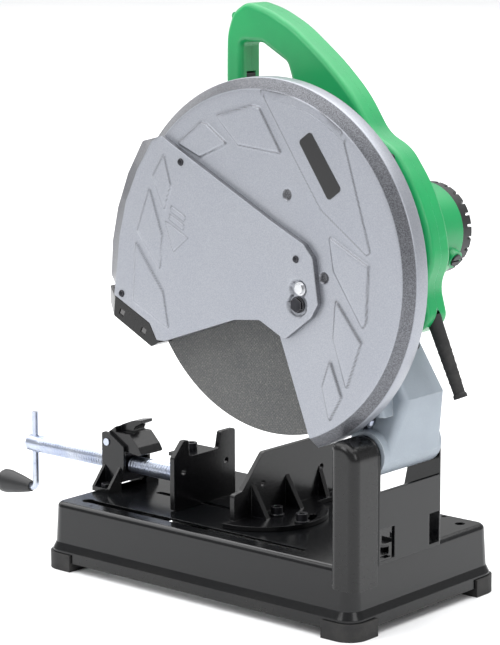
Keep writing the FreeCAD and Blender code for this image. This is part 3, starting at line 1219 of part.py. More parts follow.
def movable_jaw():
    """Jaw plate with two horns and a cover flange bent back over the thrust block."""
    low_x = VISE_X - JAW_WIDTH / 2
    high_x = VISE_X + JAW_WIDTH / 2
    bottom = BASE_TOP + PLAY * 3
    top = bottom + JAW_HEIGHT
    saddle = JAW_TOP_FLANGE
    corners = [(low_x, bottom, 2), (high_x, bottom, 2), (high_x, top - 17, 3), (high_x - 16, top, 2), (high_x - 24, top, 2),
               (high_x - 26, saddle, 3), (low_x + 28, saddle, 3), (low_x + 24, top, 3), (low_x, top, 3)]
    back = JAW_FACE_Y - JAW_THICKNESS
    plate = Part.Face(rounded_wire("y", corners, back)).extrude(V(0, JAW_THICKNESS, 0))
    cover = box(VISE_X - 23, VISE_X + 25, JAW_PIVOT_Y - 12, back + 1, saddle - 4, saddle)
    webs = [box(x, x + 4, JAW_PIVOT_Y - 3, back + 1, bottom, saddle) for x in (VISE_X - 23, VISE_X + 21)]
    body = joined([plate, cover] + webs)
    body = body.cut(rod("z", (VISE_X, JAW_PIVOT_Y), saddle - 6, saddle + 1, 4 + RUNNING))
    for x in (51.0, -20.0):
        body = body.cut(rod("y", (x, 117.0), back - 1, JAW_FACE_Y + 1, 3.5))
    return body


def thrust_block():
    """Round block the jaw swivels on, bored for the screw's end and slotted for its retaining clip."""
    block = rod("z", (VISE_X, JAW_PIVOT_Y), BASE_TOP + PLAY, JAW_TOP_FLANGE - 4 - PLAY, BLOCK_RADIUS)
    block = block.cut(rod("y", (VISE_X, SCREW_Z), JAW_PIVOT_Y - 20, JAW_PIVOT_Y + 6, 7 + RUNNING))
    block = block.cut(box(VISE_X - 20, VISE_X + 20, JAW_PIVOT_Y - 2, JAW_PIVOT_Y + 2, SCREW_Z - 10.5, SCREW_Z + 10.5))
    tongue = box(VISE_X - GUIDE_SLOT_WIDTH / 2 + 0.5, VISE_X + GUIDE_SLOT_WIDTH / 2 - 0.5, JAW_PIVOT_Y - 9, JAW_PIVOT_Y + 9,
                 BASE_TOP - SHEET - PLAY, BASE_TOP + PLAY + 0.5)
    body = joined([block, tongue])
    body = body.cut(rod("z", (VISE_X, JAW_PIVOT_Y), BASE_TOP - SHEET - 5, BASE_TOP + 10, 3))
    return body.cut(rod("z", (VISE_X, JAW_PIVOT_Y), JAW_TOP_FLANGE - 19.5, JAW_TOP_FLANGE, 4))


def jaw_bolts():
    """Pivot screw through the jaw's cover into the block, and the guide bolt with its plate under the base."""
    centre = (VISE_X, JAW_PIVOT_Y)
    pivot = socket_screw("z", centre, JAW_TOP_FLANGE + PLAY, 1, 19, 4)
    plate_top = BASE_TOP - SHEET - PLAY
    plate = box(VISE_X - 14, VISE_X + 14, JAW_PIVOT_Y - 12, JAW_PIVOT_Y + 12, plate_top - 4, plate_top)
    guide = hex_bolt("z", centre, plate_top - 4, -1, 4 + SHEET + 2 * PLAY + 8, 3)
    return together([pivot, joined([plate.cut(rod("z", centre, plate_top - 5, plate_top + 1, 3)), guide])])


def vise_screw():
    """Vise screw with a waisted end for the block and a drilled collar for the crank."""
    body = rod("y", (VISE_X, SCREW_Z), CRANK_Y, JAW_PIVOT_Y - BLOCK_RADIUS - PLAY, SCREW_RADIUS)
    end = rod("y", (VISE_X, SCREW_Z), CRANK_Y, JAW_PIVOT_Y + 5, 7)
    neck = ring("y", (VISE_X, SCREW_Z), JAW_PIVOT_Y - 1.2, JAW_PIVOT_Y + 1.2, 8, 5.5)
    body = joined([body, end]).cut(neck)
    body = body.cut(rod("z", (VISE_X, CRANK_Y + 8), SCREW_Z - 20, SCREW_Z + 20, CRANK_ROD))
    pin_hole = rod("x", (CRANK_Y + 8, SCREW_Z), VISE_X - 12, VISE_X - CRANK_ROD, 1.5)
    return body.cut(pin_hole)


def screw_pins():
    """E-clip in the screw's neck inside the thrust block, and the pin that holds the crank rod."""
    clip = ring("y", (VISE_X, SCREW_Z), JAW_PIVOT_Y - 1, JAW_PIVOT_Y + 1, 9.5, 5.5)
    clip = clip.cut(box(VISE_X - 4, VISE_X + 4, JAW_PIVOT_Y - 2, JAW_PIVOT_Y + 2, SCREW_Z - 12, SCREW_Z))
    return together([clip, rod("x", (CRANK_Y + 8, SCREW_Z), VISE_X - 9.5, VISE_X - CRANK_ROD, 1.5)])


def crank_rod():
    """Rod through the collar, bent towards the operator at its lower end to carry the knob."""
    y = CRANK_Y + 8
    upright = rod("z", (VISE_X, y), CRANK_LOW + BEND, CRANK_LOW + 92, CRANK_ROD)
    arc = Part.makeTorus(BEND, CRANK_ROD, V(VISE_X, y - BEND, CRANK_LOW + BEND), V(1, 0, 0))
    bend = arc.common(box(VISE_X - 10, VISE_X + 10, y - BEND, y + 10, CRANK_LOW - 10, CRANK_LOW + BEND))
    leg = rod("y", (VISE_X, CRANK_LOW), KNOB_END + 4, y - BEND, CRANK_ROD)
    return joined([upright, bend, leg])


CRANK_LOW = 48.0
BEND = 7.0
KNOB_END = -402.0


def crank_knob():
    """Tapered hand knob, turned about the crank's lower leg."""
    inner = CRANK_ROD + RUNNING
    front = KNOB_END
    back = CRANK_Y + 8 - BEND - 1
    profile = [(inner, front + 9), (9, front + 9), (9, front), (12.5, front), (14, front + 3), (14, front + 10), (11, front + 28), (7.5, back - 1.5),
               (6.5, back), (inner, back)]
    return turned("y", (VISE_X, CRANK_LOW), profile)


def knob_retainer():
    """Cap nut on the end of the crank's leg, inside the knob's mouth."""
    face = KNOB_END + 9 - PLAY
    washer = rod("y", (VISE_X, CRANK_LOW), face - 1.2, face, 7.5)
    nut = hexagon("y", (VISE_X, CRANK_LOW), face - 5, face - 1.2, 11)
    return joined([washer, nut]).cut(rod("y", (VISE_X, CRANK_LOW), KNOB_END + 4, face + 1, CRANK_ROD))


def bracket_bolt_places():
    half = CHEEK_GAP / 2 + CHEEK
    middle = (BRACKET_FRONT + BRACKET_BACK) / 2
    return [(VISE_X + half + 10, middle), (VISE_X - half - 10, middle)]


def nut_bracket():
    """Cast bracket: two cheeks, front tie, and a ribbed foot on each side."""
    half = CHEEK_GAP / 2
    front = BRACKET_FRONT - 2
    back = BRACKET_BACK + 5
    profile = [(front, BASE_TOP, 0), (front, LEVER_PIN[1] + 11, 3), (front + 10, LEVER_PIN[1] + 11, 3), (back, 126.0, 2), (back, 104.0, 2),
               (back - 10, BASE_TOP, 0)]
    parts = [prism("x", profile, VISE_X + half, VISE_X + half + CHEEK), prism("x", profile, VISE_X - half - CHEEK, VISE_X - half)]
    parts.append(box(VISE_X - half, VISE_X + half, front, front + 4, BASE_TOP, 117))
    for side in (-1, 1):
        start = VISE_X + side * (half + CHEEK - 1)
        end = VISE_X + side * (half + CHEEK + FOOT_OUT)
        parts.append(box(min(start, end), max(start, end), BRACKET_FRONT, BRACKET_BACK, BASE_TOP, BASE_TOP + 5))
        for y in (BRACKET_FRONT, BRACKET_BACK - 3.5):
            triangle = Part.Face(Part.makePolygon([V(start, y, BASE_TOP), V(end, y, BASE_TOP + 5), V(start, y, 104), V(start, y, BASE_TOP)]))
            parts.append(triangle.extrude(V(0, 3.5, 0)))
    body = joined(parts)
    body = body.cut(rod("y", (VISE_X, SCREW_Z), front - 1, front + 5, SCREW_RADIUS + 0.5))
    body = body.cut(rod("x", LEVER_PIN, VISE_X - 40, VISE_X + 40, 3))
    for place in bracket_bolt_places():
        body = body.cut(rod("z", place, BASE_TOP - 1, BASE_TOP + 6, 3 + PLAY))
    return body


FOOT_OUT = 19.0


def nut_block():
    """Nut between the cheeks, bored for the screw's crests."""
    half = CHEEK_GAP / 2
    block = box(VISE_X - half, VISE_X + half, BRACKET_FRONT + 6, BRACKET_BACK - 1, SCREW_Z - 18, SCREW_Z + 14)
    return block.cut(rod("y", (VISE_X, SCREW_Z), BRACKET_FRONT, BRACKET_BACK + 5, SCREW_RADIUS + RUNNING))


def lever_pin():
    reach = CHEEK_GAP / 2 + CHEEK
    pin = rod("x", LEVER_PIN, VISE_X - reach - 1.5, VISE_X + reach, 3)
    return pin.fuse(rod("x", LEVER_PIN, VISE_X + reach, VISE_X + reach + 1.5, 4.2)).removeSplitter()


def release_lever():
    """Hooked thumb lever over the nut."""
    y, z = LEVER_PIN
    outline = [(y - 6, z - 7, 3), (y - 4, z + 9, 5), (y + 12, z + 20, 10), (y + 27, z + 26, 8), (y + 42, z + 28.5, 1), (y + 42, z + 25, 1),
               (y + 32, z + 20, 5), (y + 29, z + 15, 4), (y + 45, z - 1, 2), (y + 50, z - 9, 2), (y + 46, z - 11, 2), (y + 22, z - 8, 4)]
    half = CHEEK_GAP / 2 - PLAY
    body = prism("x", outline, VISE_X - half, VISE_X + half)
    thumb = box(VISE_X - half - 1, VISE_X + half + 1, y + 10, y + 60, z + 12, z + 40)
    narrow = box(VISE_X - 9, VISE_X + 9, y + 9, y + 61, z + 11, z + 41)
    body = body.cut(thumb.cut(narrow))
    return body.cut(rod("x", LEVER_PIN, VISE_X - 40, VISE_X + 40, 3 + RUNNING))


def main():
    os.makedirs("parts", exist_ok=True)
    for name, maker in NODES.items():
        write(name, maker())


NODES = {
    "base_pan": base_pan,
    "rubber_feet": rubber_feet,
    "base_screws": base_screws,
    "hinge_bracket": hinge_bracket,
    "hinge_pin": hinge_pin,
    "pin_retainers": pin_retainers,
    "return_spring": return_spring,
    "spark_hood": spark_hood,
    "spindle": spindle,
    "inner_flange": inner_flange,
    "outer_flange": outer_flange,
    "abrasive_wheel": abrasive_wheel,
    "arbor_bolt": arbor_bolt,
    "armature_shaft": armature_shaft,
    "armature_core": armature_core,
    "armature_windings": armature_windings,
    "commutator": commutator,
    "cooling_fan": cooling_fan,
    "bearings": bearings,
    "arm_casting": arm_casting,
    "gear_cover": gear_cover,
    "casting_screws": casting_screws,
    "main_guard": main_guard,
    "name_plate": name_plate,
    "side_cover": side_cover,
    "cover_rivets": cover_rivets,
    "cover_pivot_bolt": cover_pivot_bolt,
    "cover_slot_screw": cover_slot_screw,
    "spark_deflector": spark_deflector,
    "motor_housing": motor_housing,
    "stator": stator,
    "field_coils": field_coils,
    "tail_cover": tail_cover,
    "brush_caps": brush_caps,
    "carbon_brushes": carbon_brushes,
    "handle_near_half": handle_near_half,
    "handle_far_half": handle_far_half,
    "housing_screws": housing_screws,
    "trigger": trigger,
    "trigger_pin": trigger_pin,
    "switch_body": switch_body,
    "lock_button": lock_button,
    "cord_armour": cord_armour,
    "stop_bolt": stop_bolt,
    "fence": fence,
    "fence_bolts": fence_bolts,
    "movable_jaw": movable_jaw,
    "thrust_block": thrust_block,
    "jaw_bolts": jaw_bolts,
    "vise_screw": vise_screw,
    "screw_pins": screw_pins,
    "crank_rod": crank_rod,
    "crank_knob": crank_knob,
    "knob_retainer": knob_retainer,
    "nut_bracket": nut_bracket,
    "nut_block": nut_block,
    "lever_pin": lever_pin,
    "release_lever": release_lever,
    "base_bolts": base_bolts,
    "gear_wheel": gear_wheel,
}

main()
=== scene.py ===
"""Abrasive chop saw: its finishes, its detailed pieces and the studio it stands in.

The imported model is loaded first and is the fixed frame. Every operator adds one piece or finishes one
group of like pieces; main() calls them in order.
"""
import math

import bmesh
import bpy
import numpy as np
from mathutils import Matrix, Vector


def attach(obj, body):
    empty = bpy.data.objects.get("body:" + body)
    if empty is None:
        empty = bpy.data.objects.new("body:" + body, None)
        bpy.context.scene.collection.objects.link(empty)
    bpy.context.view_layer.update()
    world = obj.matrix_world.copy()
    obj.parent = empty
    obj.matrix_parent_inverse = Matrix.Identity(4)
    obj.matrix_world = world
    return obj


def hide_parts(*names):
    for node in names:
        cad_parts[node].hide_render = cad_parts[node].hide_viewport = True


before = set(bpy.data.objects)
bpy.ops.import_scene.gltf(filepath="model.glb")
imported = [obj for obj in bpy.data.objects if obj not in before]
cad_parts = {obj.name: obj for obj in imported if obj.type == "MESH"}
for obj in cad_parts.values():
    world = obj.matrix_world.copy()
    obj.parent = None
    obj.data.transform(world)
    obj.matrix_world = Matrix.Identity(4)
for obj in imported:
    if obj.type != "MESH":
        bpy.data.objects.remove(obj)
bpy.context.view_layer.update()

MM = 0.001

bl_info = {
    "name": "Abrasive chop saw finish",
    "version": (1, 0, 0),
    "blender": (4, 5, 0),
    "location": "View3D > Sidebar > Chop saw",
    "description": "Adds the finishes and the detailed pieces of an abrasive chop saw",
    "category": "Object",
}


# ---- settings -------------------------------------------------------------------------------
def tint(red, green, blue):
    """Linear colour of a screen colour given as three numbers up to 255."""
    parts = []
    for part in (red, green, blue):
        share = part / 255
        parts.append(share / 12.92 if share <= 0.04045 else ((share + 0.055) / 1.055) ** 2.4)
    return tuple(parts)


def colour_setting(name, description, default):
    """A colour that a user can change in the sidebar."""
    return bpy.props.FloatVectorProperty(
        name=name, description=description, default=default, subtype="COLOR", size=3, min=0, max=1)


def length_setting(name, description, default):
    """A length in metres that a user can change in the sidebar."""
    return bpy.props.FloatProperty(
        name=name, description=description, default=default, unit="LENGTH", subtype="DISTANCE", min=0)


class PaintSettings(bpy.types.PropertyGroup):
    """Colours of the painted, moulded and plated surfaces."""

    silver: colour_setting("Silver", "Paint of the guard and the side cover", tint(142, 145, 152))
    # painted shade: darker colour of the bevel band round the guard and the cover, standing in for the shade
    # that falls on it
    silver_bevel_shade: colour_setting("Silver bevel", "Shaded band round the guard and the cover", tint(56, 57, 62))
    arm: colour_setting("Arm", "Paint of the cast arm", tint(150, 159, 168))
    green: colour_setting("Green", "Moulded motor housing", tint(16, 150, 84))
    black: colour_setting("Black", "Moulded black plastic", tint(20, 21, 23))
    base: colour_setting("Base", "Powder coat of the base", tint(10, 11, 13))
    zinc: colour_setting("Zinc", "Plated screws, rods and levers", tint(190, 196, 208))
    wheel: colour_setting("Wheel", "Resin of the abrasive wheel", tint(72, 73, 74))


class GuardSettings(bpy.types.PropertyGroup):
    """Sizes of the guard's pressing."""

    emboss: length_setting("Emboss height", "How far the pressed panels stand out", 0.0022)
    slope: length_setting("Emboss slope", "Width of the slope round each panel", 0.0028)


class CoverSettings(bpy.types.PropertyGroup):
    """Sizes of the side cover's pressing."""

    emboss: length_setting("Emboss height", "How far the pressed panels stand out", 0.0014)
    recess: length_setting("Recess depth", "Depth of the two wells in the cover", 0.0025)


class ScrewSettings(bpy.types.PropertyGroup):
    """Sizes of the vise screw's thread."""

    pitch: length_setting("Pitch", "Advance of the thread in one turn", 0.004)
    depth: length_setting("Depth", "Depth of the thread", 0.0012)


class StudioSettings(bpy.types.PropertyGroup):
    """Sizes of the studio."""

    floor_radius: length_setting("Floor radius", "Radius of the round floor", 40.0)
    lens: bpy.props.FloatProperty(
        name="Lens", description="Focal length of the camera", default=137.06, min=1, unit="CAMERA")


# ---- shader maths ---------------------------------------------------------------------------
class Value:
    """One socket of a shader; sums and products of it add their Math nodes."""

    def __init__(self, finish, socket):
        self.finish = finish
        self.socket = socket

    def _math(self, operation, first, second):
        return self.finish.node("ShaderNodeMath", {"operation": operation}, {0: first, 1: second})

    def __add__(self, other):
        return self._math("ADD", self, other)

    def __radd__(self, other):
        return self._math("ADD", other, self)

    def __sub__(self, other):
        return self._math("SUBTRACT", self, other)

    def __rsub__(self, other):
        return self._math("SUBTRACT", other, self)

    def __mul__(self, other):
        return self._math("MULTIPLY", self, other)

    def over(self, low, high):
        """0 below low, 1 above high, and a straight slope between them."""
        return self.finish.node(
            "ShaderNodeMapRange", {"clamp": True}, {"Value": self, "From Min": low, "From Max": high})


class Finish:
    """One material: a Principled shader and the nodes that feed it."""

    def __init__(self, name, roughness=0.5, metallic=0.0, coat=0.0, specular=0.5):
        self.material = bpy.data.materials.new(name)
        self.material.use_nodes = True
        self.tree = self.material.node_tree
        self.shader = self.tree.nodes["Principled BSDF"]
        self.shader.inputs["Roughness"].default_value = roughness
        self.shader.inputs["Metallic"].default_value = metallic
        self.shader.inputs["Coat Weight"].default_value = coat
        self.shader.inputs["Coat Roughness"].default_value = 0.15
        self.shader.inputs["Specular IOR Level"].default_value = specular
        self.place = self.node("ShaderNodeTexCoord", out="Object")

    def node(self, kind, settings=None, inputs=None, out=0):
        """Adds a node: its settings first, then the values or links of its sockets."""
        made = self.tree.nodes.new(kind)
        for key, value in (settings or {}).items():
            setattr(made, key, value)
        for key, value in (inputs or {}).items():
            if isinstance(value, Value):
                self.tree.links.new(value.socket, made.inputs[key])
            else:
                made.inputs[key].default_value = value
        return Value(self, made.outputs[out])

    def noise(self, scale, detail=3.0, rough=0.55, place=None):
        """Cloudy noise from 0 to 1; scale is in waves a metre."""
        return self.node("ShaderNodeTexNoise", None, {
            "Vector": place or self.place, "Scale": scale, "Detail": detail, "Roughness": rough})

    def cells(self, scale, place=None):
        """Random grey of small cells, as flakes or grains."""
        sockets = {"Vector": place or self.place, "Scale": scale}
        flakes = self.node("ShaderNodeTexVoronoi", None, sockets, out="Color")
        return self.node("ShaderNodeSeparateColor", None, {0: flakes})

    def stretched(self, along, across):
        """Object coordinates scaled to draw long streaks."""
        return self.node("ShaderNodeMapping", None, {"Vector": self.place, "Scale": (along, across, across)})

    def mix(self, share, first, second):
        """Colour between two colours."""
        sides = [side if isinstance(side, Value) else (*side, 1.0) for side in (first, second)]
        return self.node("ShaderNodeMix", {"data_type": "RGBA"}, {0: share, 6: sides[0], 7: sides[1]}, out=2)

    def attribute(self, name):
        """A number stored on the piece's own points."""
        return self.node("ShaderNodeAttribute", {"attribute_name": name}, out="Fac")

    def rounded(self, radius):
        """Normal that is rounded over an edge, and how near the point is to a worn edge."""
        soft = self.node("ShaderNodeBevel", {"samples": 4}, {"Radius": radius})
        flat = self.node("ShaderNodeNewGeometry", out="Normal")
        product = {"operation": "DOT_PRODUCT"}
        same = self.node("ShaderNodeVectorMath", product, {0: soft, 1: flat}, out="Value")
        return soft, (1.0 - same).over(0.01, 0.12)

    def bump(self, height, distance, normal, strength=1.0):
        """Normal of a surface whose height changes by up to the distance."""
        return self.node("ShaderNodeBump", None, {
            "Height": height, "Distance": distance, "Strength": strength, "Normal": normal})

    def feed(self, **sockets):
        """Links the shader's sockets."""
        names = {"colour": "Base Color", "roughness": "Roughness", "metallic": "Metallic", "normal": "Normal",
                 "coat": "Coat Weight"}
        for key, value in sockets.items():
            self.tree.links.new(value.socket, self.shader.inputs[names[key]])
        return self.material


def height_share(finish, low, high):
    """How far up a point is between two heights, from 0 to 1."""
    parts = finish.node("ShaderNodeSeparateXYZ", None, {0: finish.place}, out="Z")
    return parts.over(low, high)


# ---- finishes -------------------------------------------------------------------------------
def silver_paint(name, paint):
    """Silver metallic paint: fine flake, cloudy tone, painted shade on the bevel, in the holes and wells and
    on the slopes round the pressed panels, thin and dark on worn edges.
    """
    f = Finish(name, 0.36, 0.55, 0.25)
    soft, edge = f.rounded(0.0012)
    flake = f.cells(1500.0)
    cloud = f.noise(9.0, 4.0)
    colour = f.mix(cloud.over(0.35, 0.7) * 0.4, paint.silver, tint(134, 138, 148))
    # painted shade on the bevel band: the bevel attribute darkens it toward the bevel shade colour
    colour = f.mix(f.attribute("bevel") * 0.92, colour, paint.silver_bevel_shade)
    colour = f.mix(f.attribute("shade"), colour, tint(38, 38, 42))
    colour = f.mix(flake * 0.16, colour, tint(226, 228, 236))
    colour = f.mix(edge * f.noise(120.0).over(0.45, 0.65) * 0.55, colour, tint(90, 92, 98))
    peel = f.noise(420.0, 2.0)
    return f.feed(
        colour=colour, roughness=0.3 + flake * 0.14 + cloud * 0.08, metallic=0.6 - edge * 0.2,
        normal=f.bump(peel * 0.7 + flake * 0.3, 0.00006, soft))


def cast_paint(name, paint):
    """Grey paint over rough sand casting."""
    f = Finish(name, 0.5, 0.35, 0.1)
    soft, edge = f.rounded(0.0016)
    sand = f.noise(520.0, 4.0, 0.7)
    cloud = f.noise(16.0, 4.0)
    colour = f.mix(cloud.over(0.3, 0.7) * 0.5, paint.arm, tint(126, 134, 143))
    colour = f.mix(sand.over(0.55, 0.8) * 0.25, colour, tint(186, 192, 198))
    colour = f.mix(edge * f.noise(90.0).over(0.4, 0.6) * 0.6, colour, tint(206, 210, 214))
    return f.feed(
        colour=colour, roughness=0.38 + sand * 0.28, metallic=0.3 + edge * 0.3,
        normal=f.bump(sand, 0.00028, soft))


def moulded(name, colour, shade, worn, roughness=0.42, grain=0.0001):
    """Moulded plastic: fine leathered grain, faint flow marks, edges rubbed paler and shinier."""
    f = Finish(name, roughness, 0.0, 0.08)
    soft, edge = f.rounded(0.0011)
    pebble = f.noise(950.0, 2.0, 0.6)
    flow = f.noise(11.0, 3.0)
    scuff = f.noise(70.0, 5.0, 0.7, f.stretched(0.4, 1.0))
    shown = f.mix(flow.over(0.35, 0.68) * 0.6, colour, shade)
    shown = f.mix(scuff.over(0.62, 0.8) * 0.18, shown, worn)
    shown = f.mix(edge * scuff.over(0.4, 0.6) * 0.45, shown, worn)
    return f.feed(
        colour=shown, roughness=roughness - 0.06 + pebble * 0.16 - edge * 0.08,
        normal=f.bump(pebble, grain, soft))


def powder_coat(name, colour, shade, worn, roughness=0.36):
    """Powder coat on sheet or casting: orange peel, dust low down, bright scratches on the edges."""
    f = Finish(name, roughness, 0.0, 0.15, 0.3)
    soft, edge = f.rounded(0.0013)
    peel = f.noise(330.0, 2.0)
    cloud = f.noise(13.0, 4.0)
    scratch = f.noise(46.0, 6.0, 0.75, f.stretched(0.25, 2.4))
    dust = f.noise(8.0, 5.0) * (1.0 - height_share(f, 0.0, 0.06))
    shown = f.mix(cloud.over(0.3, 0.7) * 0.6, colour, shade)
    shown = f.mix(dust.over(0.3, 0.7) * 0.07, shown, tint(120, 112, 100))
    shown = f.mix(edge * scratch.over(0.45, 0.65) * 0.3, shown, worn)
    return f.feed(
        colour=shown, roughness=roughness - 0.05 + peel * 0.16 + dust * 0.15,
        normal=f.bump(peel, 0.00005, soft))


def plated(name, colour, shade, roughness=0.26, streak=(0.06, 1.4)):
    """Plated steel: drawn streaks, blueish clouds of the plating, dull spots, brighter edges."""
    f = Finish(name, roughness, 1.0)
    soft, edge = f.rounded(0.0006)
    drawn = f.noise(480.0, 3.0, 0.6, f.stretched(streak[1], streak[0]))
    cloud = f.noise(38.0, 4.0)
    spot = f.noise(210.0, 3.0).over(0.6, 0.72)
    shown = f.mix(cloud.over(0.35, 0.65) * 0.7, colour, shade)
    shown = f.mix(spot * 0.25, shown, tint(120, 118, 116))
    shown = f.mix(edge * 0.5, shown, tint(232, 234, 238))
    return f.feed(
        colour=shown, roughness=roughness + drawn * 0.14 + spot * 0.12 - edge * 0.06,
        normal=f.bump(drawn, 0.00004, soft))


def oiled_steel(name, colour, shade):
    """Dark oiled steel of the small machine parts."""
    f = Finish(name, 0.34, 0.9)
    soft, edge = f.rounded(0.0006)
    grind = f.noise(600.0, 2.0)
    cloud = f.noise(45.0, 4.0)
    shown = f.mix(cloud.over(0.35, 0.65), colour, shade)
    shown = f.mix(edge * 0.6, shown, tint(150, 150, 152))
    return f.feed(
        colour=shown, roughness=0.26 + grind * 0.2 + cloud * 0.08, normal=f.bump(grind, 0.00005, soft))


def rubber(name):
    """Matt black rubber with a dusty bloom."""
    f = Finish(name, 0.75)
    soft, edge = f.rounded(0.001)
    bloom = f.noise(60.0, 5.0)
    skin = f.noise(700.0, 3.0)
    shown = f.mix(bloom.over(0.4, 0.75) * 0.5, tint(24, 24, 25), tint(58, 56, 54))
    shown = f.mix(edge * 0.3, shown, tint(84, 82, 80))
    return f.feed(colour=shown, roughness=0.62 + skin * 0.2, normal=f.bump(skin, 0.00012, soft))


def abrasive(name, paint):
    """Resin bonded grit under an open glass mesh: square weave, coarse grit, pale specks and a worn rim."""
    f = Finish(name, 0.82)
    soft, edge = f.rounded(0.0007)
    parts = [f.node("ShaderNodeSeparateXYZ", None, {0: f.place}, out=axis) for axis in ("Y", "Z")]
    ways = (parts[0] + parts[1], parts[0] - parts[1])
    threads = []
    for way in ways:
        wave = f.node("ShaderNodeMath", {"operation": "SINE"}, {0: way * 1650.0})
        threads.append(wave.over(0.1, 0.9))
    mesh = f.node("ShaderNodeMath", {"operation": "MAXIMUM"}, {0: threads[0], 1: threads[1]})
    grit = f.cells(1100.0)
    cloud = f.noise(14.0, 4.0)
    shown = f.mix(cloud.over(0.35, 0.7) * 0.6, paint.wheel, tint(92, 92, 91))
    shown = f.mix(mesh * 0.3, shown, tint(112, 114, 114))
    shown = f.mix(grit.over(0.75, 1.0) * 0.5, shown, tint(150, 148, 142))
    shown = f.mix(edge * 0.5, shown, tint(120, 112, 102))
    return f.feed(
        colour=shown, roughness=0.7 + grit * 0.22, normal=f.bump(mesh * 0.6 + grit * 0.4, 0.0003, soft))


def wound(name, colour, shade, bands, metallic):
    """Fine bands of wire, sheet or segment across a motor part."""
    f = Finish(name, 0.4, metallic)
    soft, edge = f.rounded(0.0005)
    along = f.node("ShaderNodeSeparateXYZ", None, {0: f.place}, out="X")
    wave = f.node("ShaderNodeMath", {"operation": "SINE"}, {0: along * bands})
    cloud = f.noise(50.0, 3.0)
    shown = f.mix(wave.over(-0.9, 0.9), shade, colour)
    shown = f.mix(cloud.over(0.4, 0.7) * 0.3, shown, shade)
    return f.feed(
        colour=shown, roughness=0.3 + cloud * 0.25, normal=f.bump(wave.over(-1.0, 1.0), 0.0003, soft))


def studio_floor(name):
    """Pale matt floor with a very faint cloud."""
    f = Finish(name, 0.7, 0.0, 0.0, 0.2)
    cloud = f.noise(1.5, 3.0)
    shown = f.mix(cloud.over(0.3, 0.7), tint(246, 246, 247), tint(240, 241, 242))
    return f.feed(colour=shown, roughness=0.6 + cloud * 0.2)


FINISHES = {}


def finish(name):
    """The material of that name, made when it is first used."""
    if name in FINISHES:
        return FINISHES[name]
    paint = bpy.context.scene.chop_saw_paint
    green, black, base, zinc = tuple(paint.green), tuple(paint.black), tuple(paint.base), tuple(paint.zinc)
    sheet = tint(11, 11, 12)
    makers = {
        "silver": lambda: silver_paint("silver_paint", paint),
        "arm": lambda: cast_paint("cast_arm_paint", paint),
        "green": lambda: moulded("green_housing", green, tint(14, 124, 74), tint(78, 186, 136), 0.34),
        "black": lambda: moulded("black_plastic", black, tint(20, 20, 22), tint(82, 82, 84), 0.46),
        "plate": lambda: moulded("blank_plate", tint(14, 14, 16), tint(9, 9, 11), tint(120, 122, 126), 0.35),
        "base": lambda: powder_coat("base_powder_coat", base, tint(7, 8, 10), tint(96, 98, 104), 0.16),
        "sheet": lambda: powder_coat("black_sheet_paint", sheet, tint(8, 8, 9), tint(84, 84, 88), 0.22),
        "fence": lambda: powder_coat("fence_paint", tint(12, 12, 14), tint(8, 8, 10), tint(90, 90, 96), 0.2),
        "zinc": lambda: plated("zinc_plating", zinc, tint(164, 174, 198)),
        "bright": lambda: plated("bright_steel", tint(206, 207, 209), tint(176, 178, 182), 0.22),
        "dark": lambda: oiled_steel("dark_steel", tint(52, 52, 56), tint(34, 34, 38)),
        "rubber": lambda: rubber("foot_rubber"),
        "wheel": lambda: abrasive("abrasive_wheel_body", paint),
        "copper": lambda: wound("copper_winding", tint(196, 112, 66), tint(110, 58, 34), 7000.0, 0.85),
        "lamination": lambda: wound("core_sheets", tint(120, 122, 126), tint(52, 53, 56), 6000.0, 0.8),
        "carbon": lambda: oiled_steel("carbon_brush", tint(30, 30, 31), tint(20, 20, 21)),
    }
    FINISHES[name] = makers[name]()
    return FINISHES[name]


def dress(names, kind):
    """Gives CAD nodes their finish through their own material slots."""
    for name in names:
        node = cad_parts[name]
        for slot in node.material_slots:
            slot.material = finish(kind)


# ---- surfaces -------------------------------------------------------------------------------
def grid_faces(rows, columns, close_rows=False, close_columns=False, first=0):
    """Corner numbers of the quads of a grid whose points are numbered row by row."""
    last_row = rows if close_rows else rows - 1
    last_column = columns if close_columns else columns - 1
    row, column = np.meshgrid(np.arange(last_row), np.arange(last_column), indexing="ij")
    row, column = row.ravel(), column.ravel()
    below = (row + 1) % rows
    beside = (column + 1) % columns
    here, there = row * columns, below * columns
    return np.stack([here + column, there + column, there + beside, here + beside], 1) + first


def piece_from(name, grids, body, replaced, kind, sharp=38.0, values=None):
    """Makes one object of several grids, merges its seams and poles, and turns its faces outward.

    grids is a list of (points, closed rows, closed columns); values holds arrays of numbers for the points.
    """
    points, faces, first = [], [], 0
    for grid, close_rows, close_columns in grids:
        rows, columns = grid.shape[:2]
        points.append(grid.reshape(-1, 3) * MM)
        faces.append(grid_faces(rows, columns, close_rows, close_columns, first))
        first += rows * columns
    mesh = bpy.data.meshes.new(name)
    mesh.from_pydata(np.concatenate(points), [], np.concatenate(faces))
    for key, array in (values or {}).items():
        layer = mesh.attributes.new(key, "FLOAT", "POINT")
        layer.data.foreach_set("value", np.concatenate([part.ravel() for part in array]).astype(np.float32))
    work = bmesh.new()
    work.from_mesh(mesh)
    bmesh.ops.remove_doubles(work, verts=work.verts, dist=2e-6)
    bmesh.ops.dissolve_degenerate(work, edges=work.edges, dist=1e-7)
    bmesh.ops.recalc_face_normals(work, faces=work.faces)
    work.to_mesh(mesh)
    work.free()
    mesh.shade_smooth()
    mesh.set_sharp_from_angle(angle=math.radians(sharp))
    piece = bpy.data.objects.new(name, mesh)
    bpy.context.scene.collection.objects.link(piece)
    mesh.materials.append(finish(kind))
    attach(piece, body)
    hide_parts(*replaced)
    return piece


def smooth_step(share):
    """0 to 1 with level ends: three times the square less twice the cube."""
    share = np.clip(share, 0, 1)
    return share * share * (3 - 2 * share)


